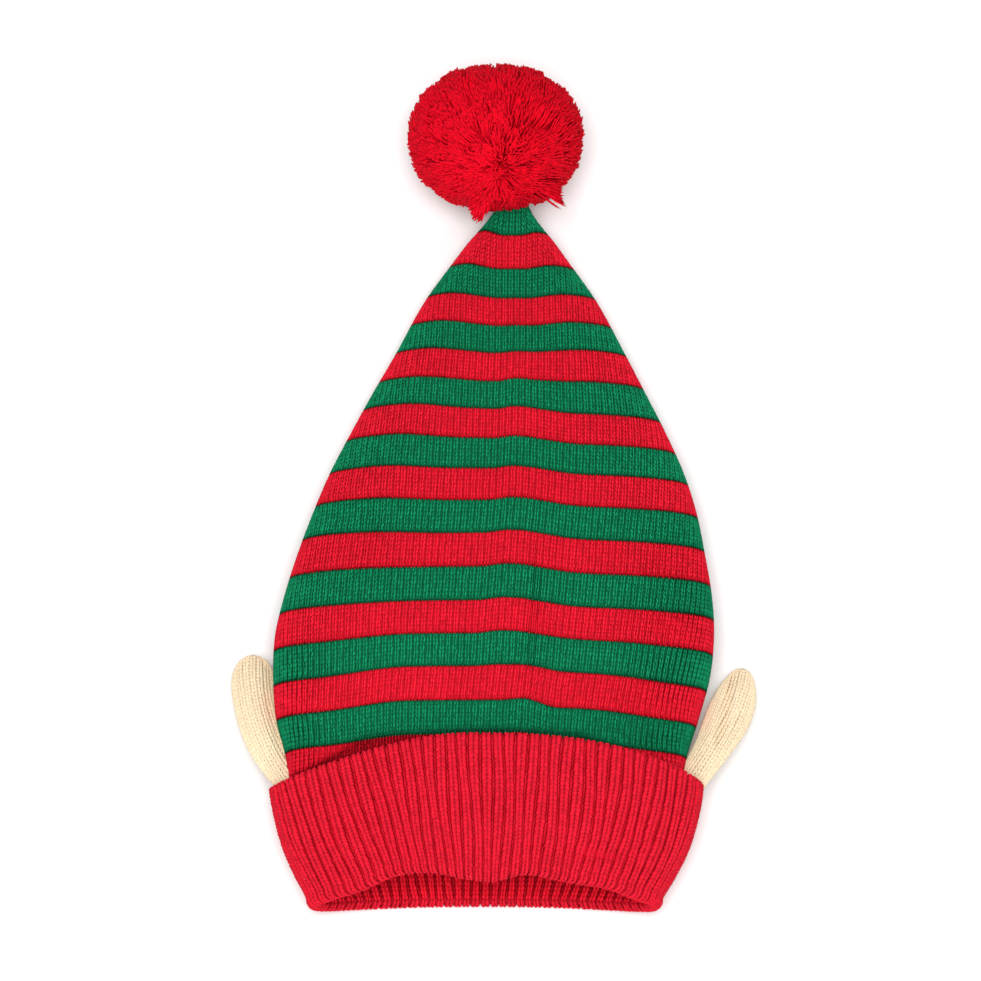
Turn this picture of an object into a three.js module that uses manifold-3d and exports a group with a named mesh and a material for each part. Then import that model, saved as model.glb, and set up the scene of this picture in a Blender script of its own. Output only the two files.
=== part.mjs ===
// Knitted elf hat, lying on its back: a striped conical crown, a ribbed band turned up
// into a cuff, two stuffed ears set in the cuff's side pockets, and a yarn pompom.
// Millimetres. +X is to the right seen from the front, +Y runs from the opening to the
// pompom, and +Z is up from the surface that the hat lies on.

import * as THREE from "three";
import { mergeVertices } from "three/addons/utils/BufferGeometryUtils.js";
import Module from "manifold-3d";

const manifold = await Module();
manifold.setup();

// Driving sizes of the crown
const CROWN_LENGTH = 349; // from the seam with the band to the gathered peak
const CROWN_WIDTH = 237; // lying, at its widest
const CROWN_HEIGHT = 70; // how high the soft tube stands off the surface
const CROWN_WALL = 2.6;
const STRIPE_WIDTH = 17.95; // eight courses of knitting, green first at the seam
const PEAK_RISE = 20; // how far the peak is lifted to reach the pompom's core
const PEAK_CAP = 1.5; // how far the gathered point closes beyond the last section

// Driving sizes of the band and its cuff
const BAND_RISE = 48; // inner layer, from the fold up to the crown's seam
const BAND_WALL = 3.2;
const CUFF_FRONT_DEPTH = 79; // turned-up layer, fold to free edge, middle of the front
const CUFF_SIDE_DEPTH = 58.5; // the same, at the sides and the back
const CUFF_FLARE = 2; // how far the free edge stands off the crown at the front
const LAYER_GAP = 1.4; // between the two layers of the cuff
const FOLD_DROOP = 4; // how far the fold sags at the two side corners
const FOLD_ARCH = 4; // how far the fold lifts back in the middle of the front
const RIB_COUNT = 82;
const RIB_RELIEF = 1.6; // from a rib's crest to the groove beside it

// Driving sizes of the ears
const EAR_LENGTH = 80;
const EAR_WIDTH = 24.5;
const EAR_THICKNESS = 15;
const EAR_POCKET = 8; // room for an ear's foot between crown and cuff
const EAR_FOOT_DEPTH = 3; // how far the foot reaches down behind the free edge
const EAR_TIP_LIFT = 7; // underside of the tip above the surface
const EAR_GROOVE = 3.8; // depth of the crease along the ear's front

// Driving sizes of the pompom
const POMPOM_WIDTH = 95;
const POMPOM_LENGTH = 81; // along the hat
const POMPOM_HEIGHT = 86;
const POMPOM_OVERHANG = 22; // from the crown's peak to the pompom's middle
const POMPOM_TIE_BACK = 17; // from the pompom's middle back to where its yarn is tied
const POMPOM_SETTLE = 1.5; // how far its own weight presses it flat underneath
const POMPOM_FULLNESS = 2.2; // superellipse power of its trimmed outline
const LOCK_COUNT = 44;
const LOCK_SPREAD = 0.19; // half a lock's width at its end, as a share of its length
const LOCK_SIDES = 5;

// Clearances
const SEAM_GAP = 0.4; // between sewn neighbours
const PEAK_CLEARANCE = 0.5; // round the peak, inside the pompom

// Shape of the soft tube. Widths are shares of half the crown's width, heights are
// shares of its height, and along runs from fold to seam, then from seam to peak.
const BAND_SECTIONS = [
  { along: 0.0, centre: -0.042, half: 0.762, height: 0.66 },
  { along: 0.25, centre: -0.038, half: 0.815, height: 0.7 },
  { along: 0.55, centre: -0.035, half: 0.855, height: 0.77 },
];
const CROWN_SECTIONS = [
  { along: 0.0, centre: -0.034, half: 0.878, height: 0.84 },
  { along: 0.073, centre: -0.035, half: 0.902, height: 0.93 },
  { along: 0.138, centre: -0.028, half: 0.957, height: 0.98 },
  { along: 0.204, centre: -0.008, half: 0.992, height: 1.0 },
  { along: 0.268, centre: 0.004, half: 0.998, height: 0.985 },
  { along: 0.333, centre: 0.02, half: 0.973, height: 0.94 },
  { along: 0.4, centre: 0.034, half: 0.93, height: 0.88 },
  { along: 0.465, centre: 0.05, half: 0.88, height: 0.82 },
  { along: 0.53, centre: 0.06, half: 0.815, height: 0.75 },
  { along: 0.597, centre: 0.067, half: 0.727, height: 0.68 },
  { along: 0.663, centre: 0.071, half: 0.632, height: 0.61 },
  { along: 0.729, centre: 0.077, half: 0.533, height: 0.54 },
  { along: 0.827, centre: 0.079, half: 0.385, height: 0.43 },
  { along: 0.905, centre: 0.082, half: 0.218, height: 0.32 },
  { along: 0.942, centre: 0.086, half: 0.122, height: 0.24 },
  { along: 0.965, centre: 0.088, half: 0.078, height: 0.18 },
  { along: 1.0, centre: 0.085, half: 0.05, height: 0.12 },
];
const WIDEST_SHARE = 0.42; // height of the side edges, as a share of a section's height
const FRONT_ROUNDNESS = 2.3; // superellipse powers of a section's upper and lower half
const BACK_FLATNESS = 3.4;
const BACK_PRESS = 0.02; // share of the height that the surface below presses flat
const RISE_START = 0.84; // where along the crown its peak begins to lift

// Soft dents and ridges. Along is a share of the crown's length, around a share of the
// way round from the middle of the back, and depth a share of the crown's height.
const DENTS = [
  { along: 0.58, around: 0.49, length: 0.1, width: 0.05, depth: -0.045 },
  { along: 0.36, around: 0.5, length: 0.3, width: 0.016, depth: 0.018 },
  { along: 0.42, around: 0.65, length: 0.05, width: 0.04, depth: -0.035 },
  { along: 0.8, around: 0.47, length: 0.06, width: 0.06, depth: -0.035 },
  { along: 0.18, around: 0.29, length: 0.07, width: 0.035, depth: -0.045 },
  { along: 0.22, around: 0.47, length: 0.08, width: 0.05, depth: -0.02 },
];

// Shape of an ear. Widths are shares of the ear's width, one column for each ear.
const EAR_SECTIONS = [
  { along: 0.0, left: 0.6, right: 0.6, thickness: 0.4 },
  { along: 0.1, left: 0.7, right: 0.64, thickness: 0.54 },
  { along: 0.22, left: 0.82, right: 0.7, thickness: 0.76 },
  { along: 0.36, left: 0.94, right: 0.79, thickness: 0.93 },
  { along: 0.5, left: 0.99, right: 0.91, thickness: 1.0 },
  { along: 0.64, left: 1.0, right: 0.99, thickness: 0.98 },
  { along: 0.77, left: 1.0, right: 0.93, thickness: 0.88 },
  { along: 0.87, left: 0.93, right: 0.76, thickness: 0.72 },
  { along: 0.95, left: 0.66, right: 0.5, thickness: 0.47 },
  { along: 0.985, left: 0.38, right: 0.3, thickness: 0.26 },
];
// Reach is a share of the ears' length. Tuck is how far a foot's middle is set in from the
// middle of its pocket, as a share of the ears' width. Leans are degrees out from the
// hat's length, bend says how late the lean changes, and groove is where the crease lies.
const EARS = [
  {
    name: "ear_left",
    side: -1,
    reach: 1.08,
    tuck: 0.45,
    footLean: 44,
    tipLean: -2,
    bend: 0.9,
    groove: 0.45,
  },
  {
    name: "ear_right",
    side: 1,
    reach: 1,
    tuck: 0.155,
    footLean: 34,
    tipLean: 10,
    bend: 1.8,
    groove: -0.2,
  },
];

// Mesh fineness
const OUTLINE_SAMPLES = 360;
const CROWN_COLUMNS = 46;
const EAR_COLUMNS = 16;
const CORE_DETAIL = 3;

const MATERIALS = {
  red: new THREE.MeshStandardMaterial({ color: 0xd41c2d, roughness: 0.92, metalness: 0 }),
  pompomRed: new THREE.MeshStandardMaterial({ color: 0xc8101f, roughness: 0.95, metalness: 0 }),
  stripes: new THREE.MeshStandardMaterial({ vertexColors: true, roughness: 0.92, metalness: 0 }),
  cream: new THREE.MeshStandardMaterial({ color: 0xf3dcb9, roughness: 0.9, metalness: 0 }),
};
const STRIPE_COLOURS = [new THREE.Color(0x13744c), new THREE.Color(0xd41c2d)];

// Numbers and tables

const mix = (from, to, share) => from + (to - from) * share;

function smoothStep(low, high, value) {
  const share = Math.min(1, Math.max(0, (value - low) / (high - low)));
  return share * share * (3 - 2 * share);
}

// The value of one column of a table at a place, on a smooth curve through its rows.
function through(rows, place, column, at) {
  const last = rows.length - 1;
  let i = 0;
  while (i < last - 1 && at > rows[i + 1][place]) i += 1;
  const slope = (a, b) => (rows[b][column] - rows[a][column]) / (rows[b][place] - rows[a][place]);
  const span = rows[i + 1][place] - rows[i][place];
  const share = Math.min(1, Math.max(0, (at - rows[i][place]) / span));
  const before = slope(Math.max(i - 1, 0), i + 1) * span;
  const after = slope(i, Math.min(i + 2, last)) * span;
  const square = share * share;
  const cube = square * share;
  return (
    (2 * cube - 3 * square + 1) * rows[i][column] +
    (cube - 2 * square + share) * before +
    (3 * square - 2 * cube) * rows[i + 1][column] +
    (cube - square) * after
  );
}

// The soft tube, which is the cuff's inner layer and the crown in one run

const TUBE = [
  ...BAND_SECTIONS.map((row) => ({ ...row, y: row.along * BAND_RISE })),
  ...CROWN_SECTIONS.map((row) => ({ ...row, y: BAND_RISE + row.along * CROWN_LENGTH })),
];
const PEAK_Y = BAND_RISE + CROWN_LENGTH;

// The section of the tube at a distance from the fold.
function tubeSection(y) {
  const halfWidth = CROWN_WIDTH / 2;
  const overCuff = 1 - smoothStep(CUFF_SIDE_DEPTH, CUFF_SIDE_DEPTH * 1.5, y);
  const toPeak = smoothStep(BAND_RISE + RISE_START * CROWN_LENGTH, PEAK_Y, y);
  const bottom = overCuff * (BAND_WALL + LAYER_GAP) + toPeak * PEAK_RISE;
  return {
    centre: through(TUBE, "y", "centre", y) * halfWidth,
    half: through(TUBE, "y", "half", y) * halfWidth,
    bottom,
    top: bottom + through(TUBE, "y", "height", y) * CROWN_HEIGHT,
  };
}

// The outer face of the turned-up layer at a distance from the fold.
function cuffSection(y) {
  const tube = tubeSection(y);
  const opened = smoothStep(0, CUFF_SIDE_DEPTH, y);
  const flared = smoothStep(CUFF_SIDE_DEPTH, CUFF_FRONT_DEPTH, y);
  return {
    centre: tube.centre,
    half: tube.half + BAND_WALL + mix(LAYER_GAP, EAR_POCKET, opened),
    bottom: 0,
    top: tube.top + BAND_WALL + LAYER_GAP + CUFF_FLARE * flared,
  };
}

// Points evenly spaced round a section, from the middle of the back, with outward
// normals. Rise is 0 at the sides and below, and 1 in the middle of the front.
function outline(section, count) {
  const height = section.top - section.bottom;
  const widest = section.bottom + WIDEST_SHARE * height;
  const samples = [];
  for (let i = 0; i <= OUTLINE_SAMPLES; i += 1) {
    const angle = (i / OUTLINE_SAMPLES) * 2 * Math.PI - Math.PI / 2;
    const [c, s] = [Math.cos(angle), Math.sin(angle)];
    const power = 2 / (s > 0 ? FRONT_ROUNDNESS : BACK_FLATNESS);
    const reach = s > 0 ? section.top - widest : widest - section.bottom + BACK_PRESS * height;
    const x = section.centre + section.half * Math.sign(c) * Math.abs(c) ** power;
    const z = Math.max(section.bottom, widest + reach * Math.sign(s) * Math.abs(s) ** power);
    samples.push({ x, z, rise: Math.max(0, s) ** 2, side: c * c });
  }
  const lengths = [0];
  for (let i = 1; i < samples.length; i += 1) {
    const step = Math.hypot(samples[i].x - samples[i - 1].x, samples[i].z - samples[i - 1].z);
    lengths.push(lengths[i - 1] + step);
  }
  const points = [];
  let i = 1;
  for (let k = 0; k < count; k += 1) {
    const wanted = (k / count) * lengths[OUTLINE_SAMPLES];
    while (lengths[i] < wanted) i += 1;
    const [a, b] = [samples[i - 1], samples[i]];
    const share = (wanted - lengths[i - 1]) / (lengths[i] - lengths[i - 1]);
    const ahead = samples[Math.min(i + 2, OUTLINE_SAMPLES)];
    const behind = samples[Math.max(i - 3, 0)];
    const turn = Math.hypot(ahead.x - behind.x, ahead.z - behind.z);
    points.push({
      x: mix(a.x, b.x, share),
      z: mix(a.z, b.z, share),
      rise: mix(a.rise, b.rise, share),
      side: mix(a.side, b.side, share),
      nx: (ahead.z - behind.z) / turn,
      nz: -(ahead.x - behind.x) / turn,
    });
  }
  return points;
}

// How far the dents push the crown's surface out at a place.
function dentAt(y, around) {
  let sum = 0;
  for (const dent of DENTS) {
    const along = ((y - BAND_RISE) / CROWN_LENGTH - dent.along) / dent.length;
    const across = (around - dent.around) / dent.width;
    sum += dent.depth * CROWN_HEIGHT * Math.exp(-along * along - across * across);
  }
  return sum;
}

// Meshes from rings of points

// Joins rings that have as many points each. Wrap joins the last ring to the first;
// otherwise each end closes to the point given for it.
function skin(rings, { wrap = false, startPoint, endPoint } = {}) {
  const count = rings[0].length;
  const points = rings.flat();
  const faces = [];
  const quad = (a, b, c, d) => faces.push(a, b, c, a, c, d);
  const ringPairs = wrap ? rings.length : rings.length - 1;
  for (let r = 0; r < ringPairs; r += 1) {
    const [from, to] = [r * count, ((r + 1) % rings.length) * count];
    for (let k = 0; k < count; k += 1) {
      const next = (k + 1) % count;
      quad(from + k, from + next, to + next, to + k);
    }
  }
  if (!wrap) {
    const [start, end] = [points.length, points.length + 1];
    const lastRing = (rings.length - 1) * count;
    points.push(startPoint, endPoint);
    for (let k = 0; k < count; k += 1) {
      const next = (k + 1) % count;
      faces.push(start, next, k);
      faces.push(end, lastRing + k, lastRing + next);
    }
  }
  const geometry = new THREE.BufferGeometry().setFromPoints(points);
  geometry.setIndex(faces);
  return facingOut(geometry);
}

// Turns a closed mesh's faces round if they point inwards.
function facingOut(geometry) {
  const position = geometry.getAttribute("position");
  const index = geometry.getIndex().array;
  const [a, b, c] = [new THREE.Vector3(), new THREE.Vector3(), new THREE.Vector3()];
  let volume = 0;
  for (let i = 0; i < index.length; i += 3) {
    a.fromBufferAttribute(position, index[i]);
    b.fromBufferAttribute(position, index[i + 1]);
    c.fromBufferAttribute(position, index[i + 2]);
    volume += a.dot(b.cross(c));
  }
  if (volume < 0) geometry.setIndex(Array.from(index).reverse());
  geometry.computeVertexNormals();
  return geometry;
}

function solidFrom(geometry) {
  const bare = geometry.clone();
  bare.deleteAttribute("normal");
  bare.deleteAttribute("uv");
  const merged = mergeVertices(bare);
  return new manifold.Manifold(
    new manifold.Mesh({
      numProp: 3,
      vertProperties: merged.getAttribute("position").array,
      triVerts: new Uint32Array(merged.getIndex().array),
    }),
  );
}

function geometryFrom(solid) {
  const mesh = solid.getMesh();
  const geometry = new THREE.BufferGeometry();
  geometry.setAttribute("position", new THREE.BufferAttribute(mesh.vertProperties, 3));
  geometry.setIndex(new THREE.BufferAttribute(mesh.triVerts, 1));
  geometry.computeVertexNormals();
  return geometry;
}

function piece(name, geometry, material) {
  const mesh = new THREE.Mesh(geometry, material);
  mesh.name = name;
  return mesh;
}

// The crown

// A ring of the crown's skin, moved out from its outer face by the given amount.
function crownRing(y, outset) {
  return outline(tubeSection(y), CROWN_COLUMNS).map((point, k) => {
    const push = outset + dentAt(y, k / CROWN_COLUMNS);
    return new THREE.Vector3(point.x + point.nx * push, y, point.z + point.nz * push);
  });
}

function peakPoint(beyond) {
  const { centre, bottom, top } = tubeSection(PEAK_Y);
  return new THREE.Vector3(centre, PEAK_Y + beyond, (bottom + top) / 2);
}

// The crown's rings lie where its stripes change.
function crownStations() {
  const stations = [BAND_RISE + SEAM_GAP];
  for (let y = BAND_RISE + STRIPE_WIDTH; y < PEAK_Y; y += STRIPE_WIDTH) stations.push(y);
  stations.push(PEAK_Y);
  return stations;
}

// Gives each face of the crown the colour of the stripe that it lies in.
function striped(geometry) {
  const split = geometry.toNonIndexed();
  const position = split.getAttribute("position");
  const colours = [];
  const last = crownStations().length - 3; // the last stripe runs on to the peak
  for (let i = 0; i < position.count; i += 3) {
    const y = (position.getY(i) + position.getY(i + 1) + position.getY(i + 2)) / 3;
    const stripe = Math.min(last, Math.max(0, Math.floor((y - BAND_RISE) / STRIPE_WIDTH)));
    const colour = STRIPE_COLOURS[stripe % 2];
    for (let corner = 0; corner < 3; corner += 1) colours.push(colour.r, colour.g, colour.b);
  }
  split.setAttribute("color", new THREE.Float32BufferAttribute(colours, 3));
  return split;
}

function makeCrown() {
  const stations = crownStations();
  const outer = stations.map((y) => crownRing(y, 0));
  const inner = stations.slice(0, -1).map((y) => crownRing(y, -CROWN_WALL));
  const rings = [...outer.reverse(), ...inner];
  const ends = { startPoint: peakPoint(PEAK_CAP), endPoint: peakPoint(-CROWN_WALL) };
  return striped(skin(rings, ends));
}

// The crown without its hollow and a little larger, to cut its neighbours clear of it.
function crownClearance(gap) {
  const rings = crownStations().map((y) => crownRing(y, gap));
  const seam = tubeSection(BAND_RISE);
  const middle = new THREE.Vector3(seam.centre, BAND_RISE, (seam.bottom + seam.top) / 2);
  return solidFrom(skin(rings, { startPoint: middle, endPoint: peakPoint(PEAK_CAP + gap) }));
}

// The band, whose turned-up layer is the cuff

// One ring of the band, inset from the outer face of the given section. Relief is 1
// for ribs that stand out, -1 for ribs that stand in, and 0 for none.
function bandRing(sectionAt, height, inset, relief) {
  const columns = RIB_COUNT * 2;
  return outline(sectionAt(height(0, 0)), columns).map((level, k) => {
    const y = height(level.rise, level.side);
    const point = outline(sectionAt(y), columns)[k];
    const ridge = ((k % 2 ? -1 : 1) * relief * RIB_RELIEF) / 2;
    const push = ridge - RIB_RELIEF / 2 - inset;
    return new THREE.Vector3(point.x + point.nx * push, y, point.z + point.nz * push);
  });
}

const foldHeight = (rise, side) => FOLD_ARCH * rise - FOLD_DROOP * side;

function turnedUpHeight(share) {
  return (rise, side) => {
    const edge = mix(CUFF_SIDE_DEPTH, CUFF_FRONT_DEPTH, rise);
    return mix(foldHeight(rise, side), edge, share);
  };
}

function innerHeight(share) {
  return (rise, side) => mix(foldHeight(rise, side), BAND_RISE, share);
}

function makeCuff() {
  const foldShare = 0.05; // where the layers end and the round of the fold begins
  const corrugated = BAND_WALL - RIB_RELIEF; // a ribbed layer's own thickness
  const outer = [1, 0.6, 0.24, foldShare].map((share) =>
    bandRing(cuffSection, turnedUpHeight(share), 0, 1),
  );
  const inner = [foldShare, 1].map((share) =>
    bandRing(tubeSection, innerHeight(share), corrugated, -1),
  );
  const innerPocket = [1, foldShare * 2].map((share) =>
    bandRing(tubeSection, innerHeight(share), -RIB_RELIEF / 2, 0),
  );
  const outerPocket = [foldShare * 2, 0.6, 1].map((share) =>
    bandRing(cuffSection, turnedUpHeight(share), corrugated, 1),
  );
  const fold = [1, 2].map((step) => foldRing(outer.at(-1), inner[0], (step / 3) * Math.PI));
  return skin([...outer, ...fold, ...inner, ...innerPocket, ...outerPocket], { wrap: true });
}

// The turned-up layer a little larger all round, to cut the ears clear of it.
function cuffClearance(gap) {
  const heights = [1, 0.6, 0].map((share) => {
    const height = turnedUpHeight(share);
    return (rise, side) => height(rise, side) + (share === 1 ? gap : 0);
  });
  const outside = heights.map((height) => bandRing(cuffSection, height, -BAND_WALL, 0));
  const inside = heights.map((height) =>
    bandRing(cuffSection, height, BAND_WALL - RIB_RELIEF + gap, 1),
  );
  return solidFrom(skin([...outside, ...inside.reverse()], { wrap: true }));
}

// A ring on the round of the fold, a given angle from the outer face to the inner one.
function foldRing(outer, inner, angle) {
  return outer.map((a, k) => {
    const middle = a.clone().add(inner[k]).multiplyScalar(0.5);
    const reach = a.clone().sub(middle);
    const bulge = new THREE.Vector3(0, -reach.length(), 0);
    return middle.addScaledVector(reach, Math.cos(angle)).addScaledVector(bulge, Math.sin(angle));
  });
}

// The ears

// The line that an ear follows, out of its pocket and along the hat.
function earSpine(ear) {
  const foot = CUFF_SIDE_DEPTH - EAR_FOOT_DEPTH;
  const tube = tubeSection(foot);
  const gap = cuffSection(foot).half - BAND_WALL - tube.half;
  const footZ = mix(tube.bottom, tube.top, WIDEST_SHARE);
  const tipZ = EAR_TIP_LIFT + EAR_THICKNESS / 2;
  const steps = 24;
  const stride = (ear.reach * EAR_LENGTH) / steps;
  const points = [];
  let x = tube.centre + ear.side * (tube.half + gap / 2 - ear.tuck * EAR_WIDTH);
  let y = foot;
  for (let i = 0; i <= steps; i += 1) {
    const share = i / steps;
    const lean = THREE.MathUtils.degToRad(mix(ear.footLean, ear.tipLean, share ** ear.bend));
    points.push(new THREE.Vector3(x, y, mix(footZ, tipZ, smoothStep(0, 1, share))));
    x += ear.side * Math.sin(lean) * stride;
    y += Math.cos(lean) * stride;
  }
  return new THREE.CatmullRomCurve3(points);
}

// A ring of an ear: an ellipse across the spine, creased along its upper side.
function earRing(ear, spine, row) {
  const middle = spine.getPointAt(row.along);
  const along = spine.getTangentAt(row.along);
  const across = new THREE.Vector3(0, 0, 1).cross(along).negate().normalize();
  const up = across.clone().cross(along).normalize();
  const half = ((ear.side < 0 ? row.left : row.right) * EAR_WIDTH) / 2;
  const rise = (row.thickness * EAR_THICKNESS) / 2;
  const crease = EAR_GROOVE * Math.sin(Math.PI * Math.min(1, row.along * 1.05));
  return Array.from({ length: EAR_COLUMNS }, (_, k) => {
    const angle = (k / EAR_COLUMNS) * 2 * Math.PI;
    const [c, s] = [Math.cos(angle), Math.sin(angle)];
    const nearGroove = Math.exp(-(((c - ear.groove) / 0.28) ** 2));
    const lowered = s > 0 ? crease * nearGroove * s : 0;
    return middle.clone().addScaledVector(across, half * c).addScaledVector(up, rise * s - lowered);
  });
}

function makeEar(ear, neighbours) {
  const spine = earSpine(ear);
  const rings = EAR_SECTIONS.map((row) => earRing(ear, spine, row));
  const whole = solidFrom(
    skin(rings, { startPoint: spine.getPointAt(0), endPoint: spine.getPointAt(1) }),
  );
  return geometryFrom(whole.subtract(neighbours));
}

// The pompom

function pompomMiddle() {
  const peak = peakPoint(0);
  const height = POMPOM_HEIGHT / 2 - POMPOM_SETTLE;
  return new THREE.Vector3(peak.x * 0.3, PEAK_Y + POMPOM_OVERHANG, height);
}

// Directions spread evenly over a sphere.
function spreadDirections(count) {
  const golden = Math.PI * (3 - Math.sqrt(5));
  return Array.from({ length: count }, (_, i) => {
    const y = 1 - (2 * (i + 0.5)) / count;
    const radius = Math.sqrt(1 - y * y);
    return new THREE.Vector3(Math.cos(golden * i) * radius, y, Math.sin(golden * i) * radius);
  });
}

// A lock of yarn as a solid: a cone that opens from the tie to a domed, trimmed end.
function lockSolid(tie, end) {
  const length = tie.distanceTo(end);
  const profile = [
    new THREE.Vector2(0, 0),
    new THREE.Vector2(length * LOCK_SPREAD, length * 0.86),
    new THREE.Vector2(length * LOCK_SPREAD * 0.62, length * 0.97),
    new THREE.Vector2(0, length),
  ];
  const geometry = new THREE.LatheGeometry(profile, LOCK_SIDES);
  const up = new THREE.Vector3(0, 1, 0);
  geometry.applyQuaternion(
    new THREE.Quaternion().setFromUnitVectors(up, end.clone().sub(tie).normalize()),
  );
  geometry.translate(tie.x, tie.y, tie.z);
  geometry.deleteAttribute("normal");
  geometry.deleteAttribute("uv");
  return solidFrom(facingOut(mergeVertices(geometry)));
}

function makePompom(crown) {
  const middle = pompomMiddle();
  const tie = middle.clone().add(new THREE.Vector3(0, -POMPOM_TIE_BACK, 0));
  const radii = new THREE.Vector3(POMPOM_WIDTH / 2, POMPOM_LENGTH / 2, POMPOM_HEIGHT / 2);
  const coreShare = 0.86; // how much of the pompom is solid yarn before the locks part
  const core = new THREE.IcosahedronGeometry(1, CORE_DETAIL);
  core.scale(radii.x * coreShare, radii.y * coreShare, radii.z * coreShare);
  core.translate(middle.x, middle.y, middle.z);
  let solid = solidFrom(core);
  for (const direction of spreadDirections(LOCK_COUNT)) {
    const powers = direction.toArray().map((part) => Math.abs(part) ** POMPOM_FULLNESS);
    const reach = (powers[0] + powers[1] + powers[2]) ** (-1 / POMPOM_FULLNESS);
    const end = direction.multiply(radii).multiplyScalar(reach).add(middle);
    solid = solid.add(lockSolid(tie, end));
  }
  return geometryFrom(solid.subtract(crown).trimByPlane([0, 0, 1], 0));
}

// The whole hat

const hat = new THREE.Group();
const pompomCut = crownClearance(PEAK_CLEARANCE);
const earCut = crownClearance(SEAM_GAP).add(cuffClearance(SEAM_GAP));
hat.add(piece("crown", makeCrown(), MATERIALS.stripes));
hat.add(piece("cuff", makeCuff(), MATERIALS.red));
for (const ear of EARS) hat.add(piece(ear.name, makeEar(ear, earCut), MATERIALS.cream));
hat.add(piece("pompom", makePompom(pompomCut), MATERIALS.pompomRed));

// The origin is the middle of the footprint, on the surface that the hat lies on.
const extent = new THREE.Box3().setFromObject(hat, true);
const middle = extent.getCenter(new THREE.Vector3());
hat.position.set(-middle.x, -middle.y, -extent.min.z);

export default hat;
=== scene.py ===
"""A striped knitted elf hat, lying on its back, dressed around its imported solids.

Every stitch that shows is a pair of yarn legs laid on the hat's own surface, over a
plain backing. Lengths are in metres. A surface is looked up by its row and by how far
round it a point lies, from 0 in the middle of the back to 0.5 in the middle of the front.
"""

import logging
import math
from contextlib import contextmanager
from dataclasses import dataclass, field, replace
from enum import Enum
from typing import Callable, Iterator

import bpy
import numpy as np
from bpy.types import Material, Mesh, NodeSocket, Object
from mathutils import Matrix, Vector

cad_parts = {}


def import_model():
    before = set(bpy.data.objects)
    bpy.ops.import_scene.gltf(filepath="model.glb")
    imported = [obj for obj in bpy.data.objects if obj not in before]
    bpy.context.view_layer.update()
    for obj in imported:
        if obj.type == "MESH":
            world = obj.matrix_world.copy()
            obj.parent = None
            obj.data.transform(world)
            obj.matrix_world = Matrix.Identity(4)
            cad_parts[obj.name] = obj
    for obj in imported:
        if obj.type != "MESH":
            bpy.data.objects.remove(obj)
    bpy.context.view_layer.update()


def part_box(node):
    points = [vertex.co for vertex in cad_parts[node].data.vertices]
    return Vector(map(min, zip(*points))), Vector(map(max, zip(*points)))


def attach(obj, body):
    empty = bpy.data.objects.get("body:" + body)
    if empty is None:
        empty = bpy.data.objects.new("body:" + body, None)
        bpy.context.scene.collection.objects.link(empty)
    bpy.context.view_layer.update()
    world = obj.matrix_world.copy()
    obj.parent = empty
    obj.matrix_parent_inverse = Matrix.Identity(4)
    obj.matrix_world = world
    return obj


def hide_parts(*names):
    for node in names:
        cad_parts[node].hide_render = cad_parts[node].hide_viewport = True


LOG = logging.getLogger("elf_hat")
MM = 0.001
TAU = 2 * math.pi

Array = np.ndarray
# Stitches are listed as the course, the place round and the width of each.
Stitches = tuple[Array, Array, Array]
# A shade gives the yarn's painted shade: how light it is at each course and place round.
Shade = Callable[[Array, Array], Array]


class Lean(Enum):
    """Which way a leg of a stitch leans from the middle of its stitch."""

    RIGHT = 1
    LEFT = -1


class Side(Enum):
    """Which side of the hat an ear is on."""

    LEFT = -1
    RIGHT = 1


def smooth_step(low: float, high: float, value: Array) -> Array:
    """Rise smoothly from 0 to 1 between two values.

    Args:
        low: where the rise starts.
        high: where the rise ends.
        value: the values to look at.

    Returns:
        The rise at each value.
    """
    share = np.clip((np.asarray(value, float) - low) / (high - low), 0.0, 1.0)
    return share * share * (3.0 - 2.0 * share)


def bump(value: Array, middle: float, width: float) -> Array:
    """Return a soft bump of height 1 about a middle."""
    return np.exp(-(((value - middle) / width) ** 2))


def unit(vectors: Array) -> Array:
    """Return vectors, in the last axis, at a length of 1."""
    return vectors / np.maximum(np.linalg.norm(vectors, axis=-1, keepdims=True), 1e-12)


def blend(table: Array, row: Array, column: Array) -> Array:
    """Read a table between its rows and columns.

    Args:
        table: numbers or points, with a last column that repeats the first.
        row: rows, as fractions too.
        column: columns, as fractions too.

    Returns:
        The number or point at each place.
    """
    row = np.clip(row, 0, table.shape[0] - 1.001)
    i, j = row.astype(int), np.minimum(column.astype(int), table.shape[1] - 2)
    u, v = row - i, column - j
    if table.ndim == 3:
        u, v = u[..., None], v[..., None]
    near = table[i, j] * (1 - v) + table[i, j + 1] * v
    far = table[i + 1, j] * (1 - v) + table[i + 1, j + 1] * v
    return near * (1 - u) + far * u


@contextmanager
def editing(select: str) -> Iterator[None]:
    """Work on the active mesh in edit mode, and turn its faces outwards at the end.

    Args:
        select: SELECT to start with all of it selected, or DESELECT.

    Yields:
        Nothing: the work is done inside the with statement.
    """
    bpy.ops.object.mode_set(mode="EDIT")
    bpy.ops.mesh.select_all(action=select)
    yield
    bpy.ops.mesh.normals_make_consistent(inside=False)
    bpy.ops.object.mode_set(mode="OBJECT")


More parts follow.
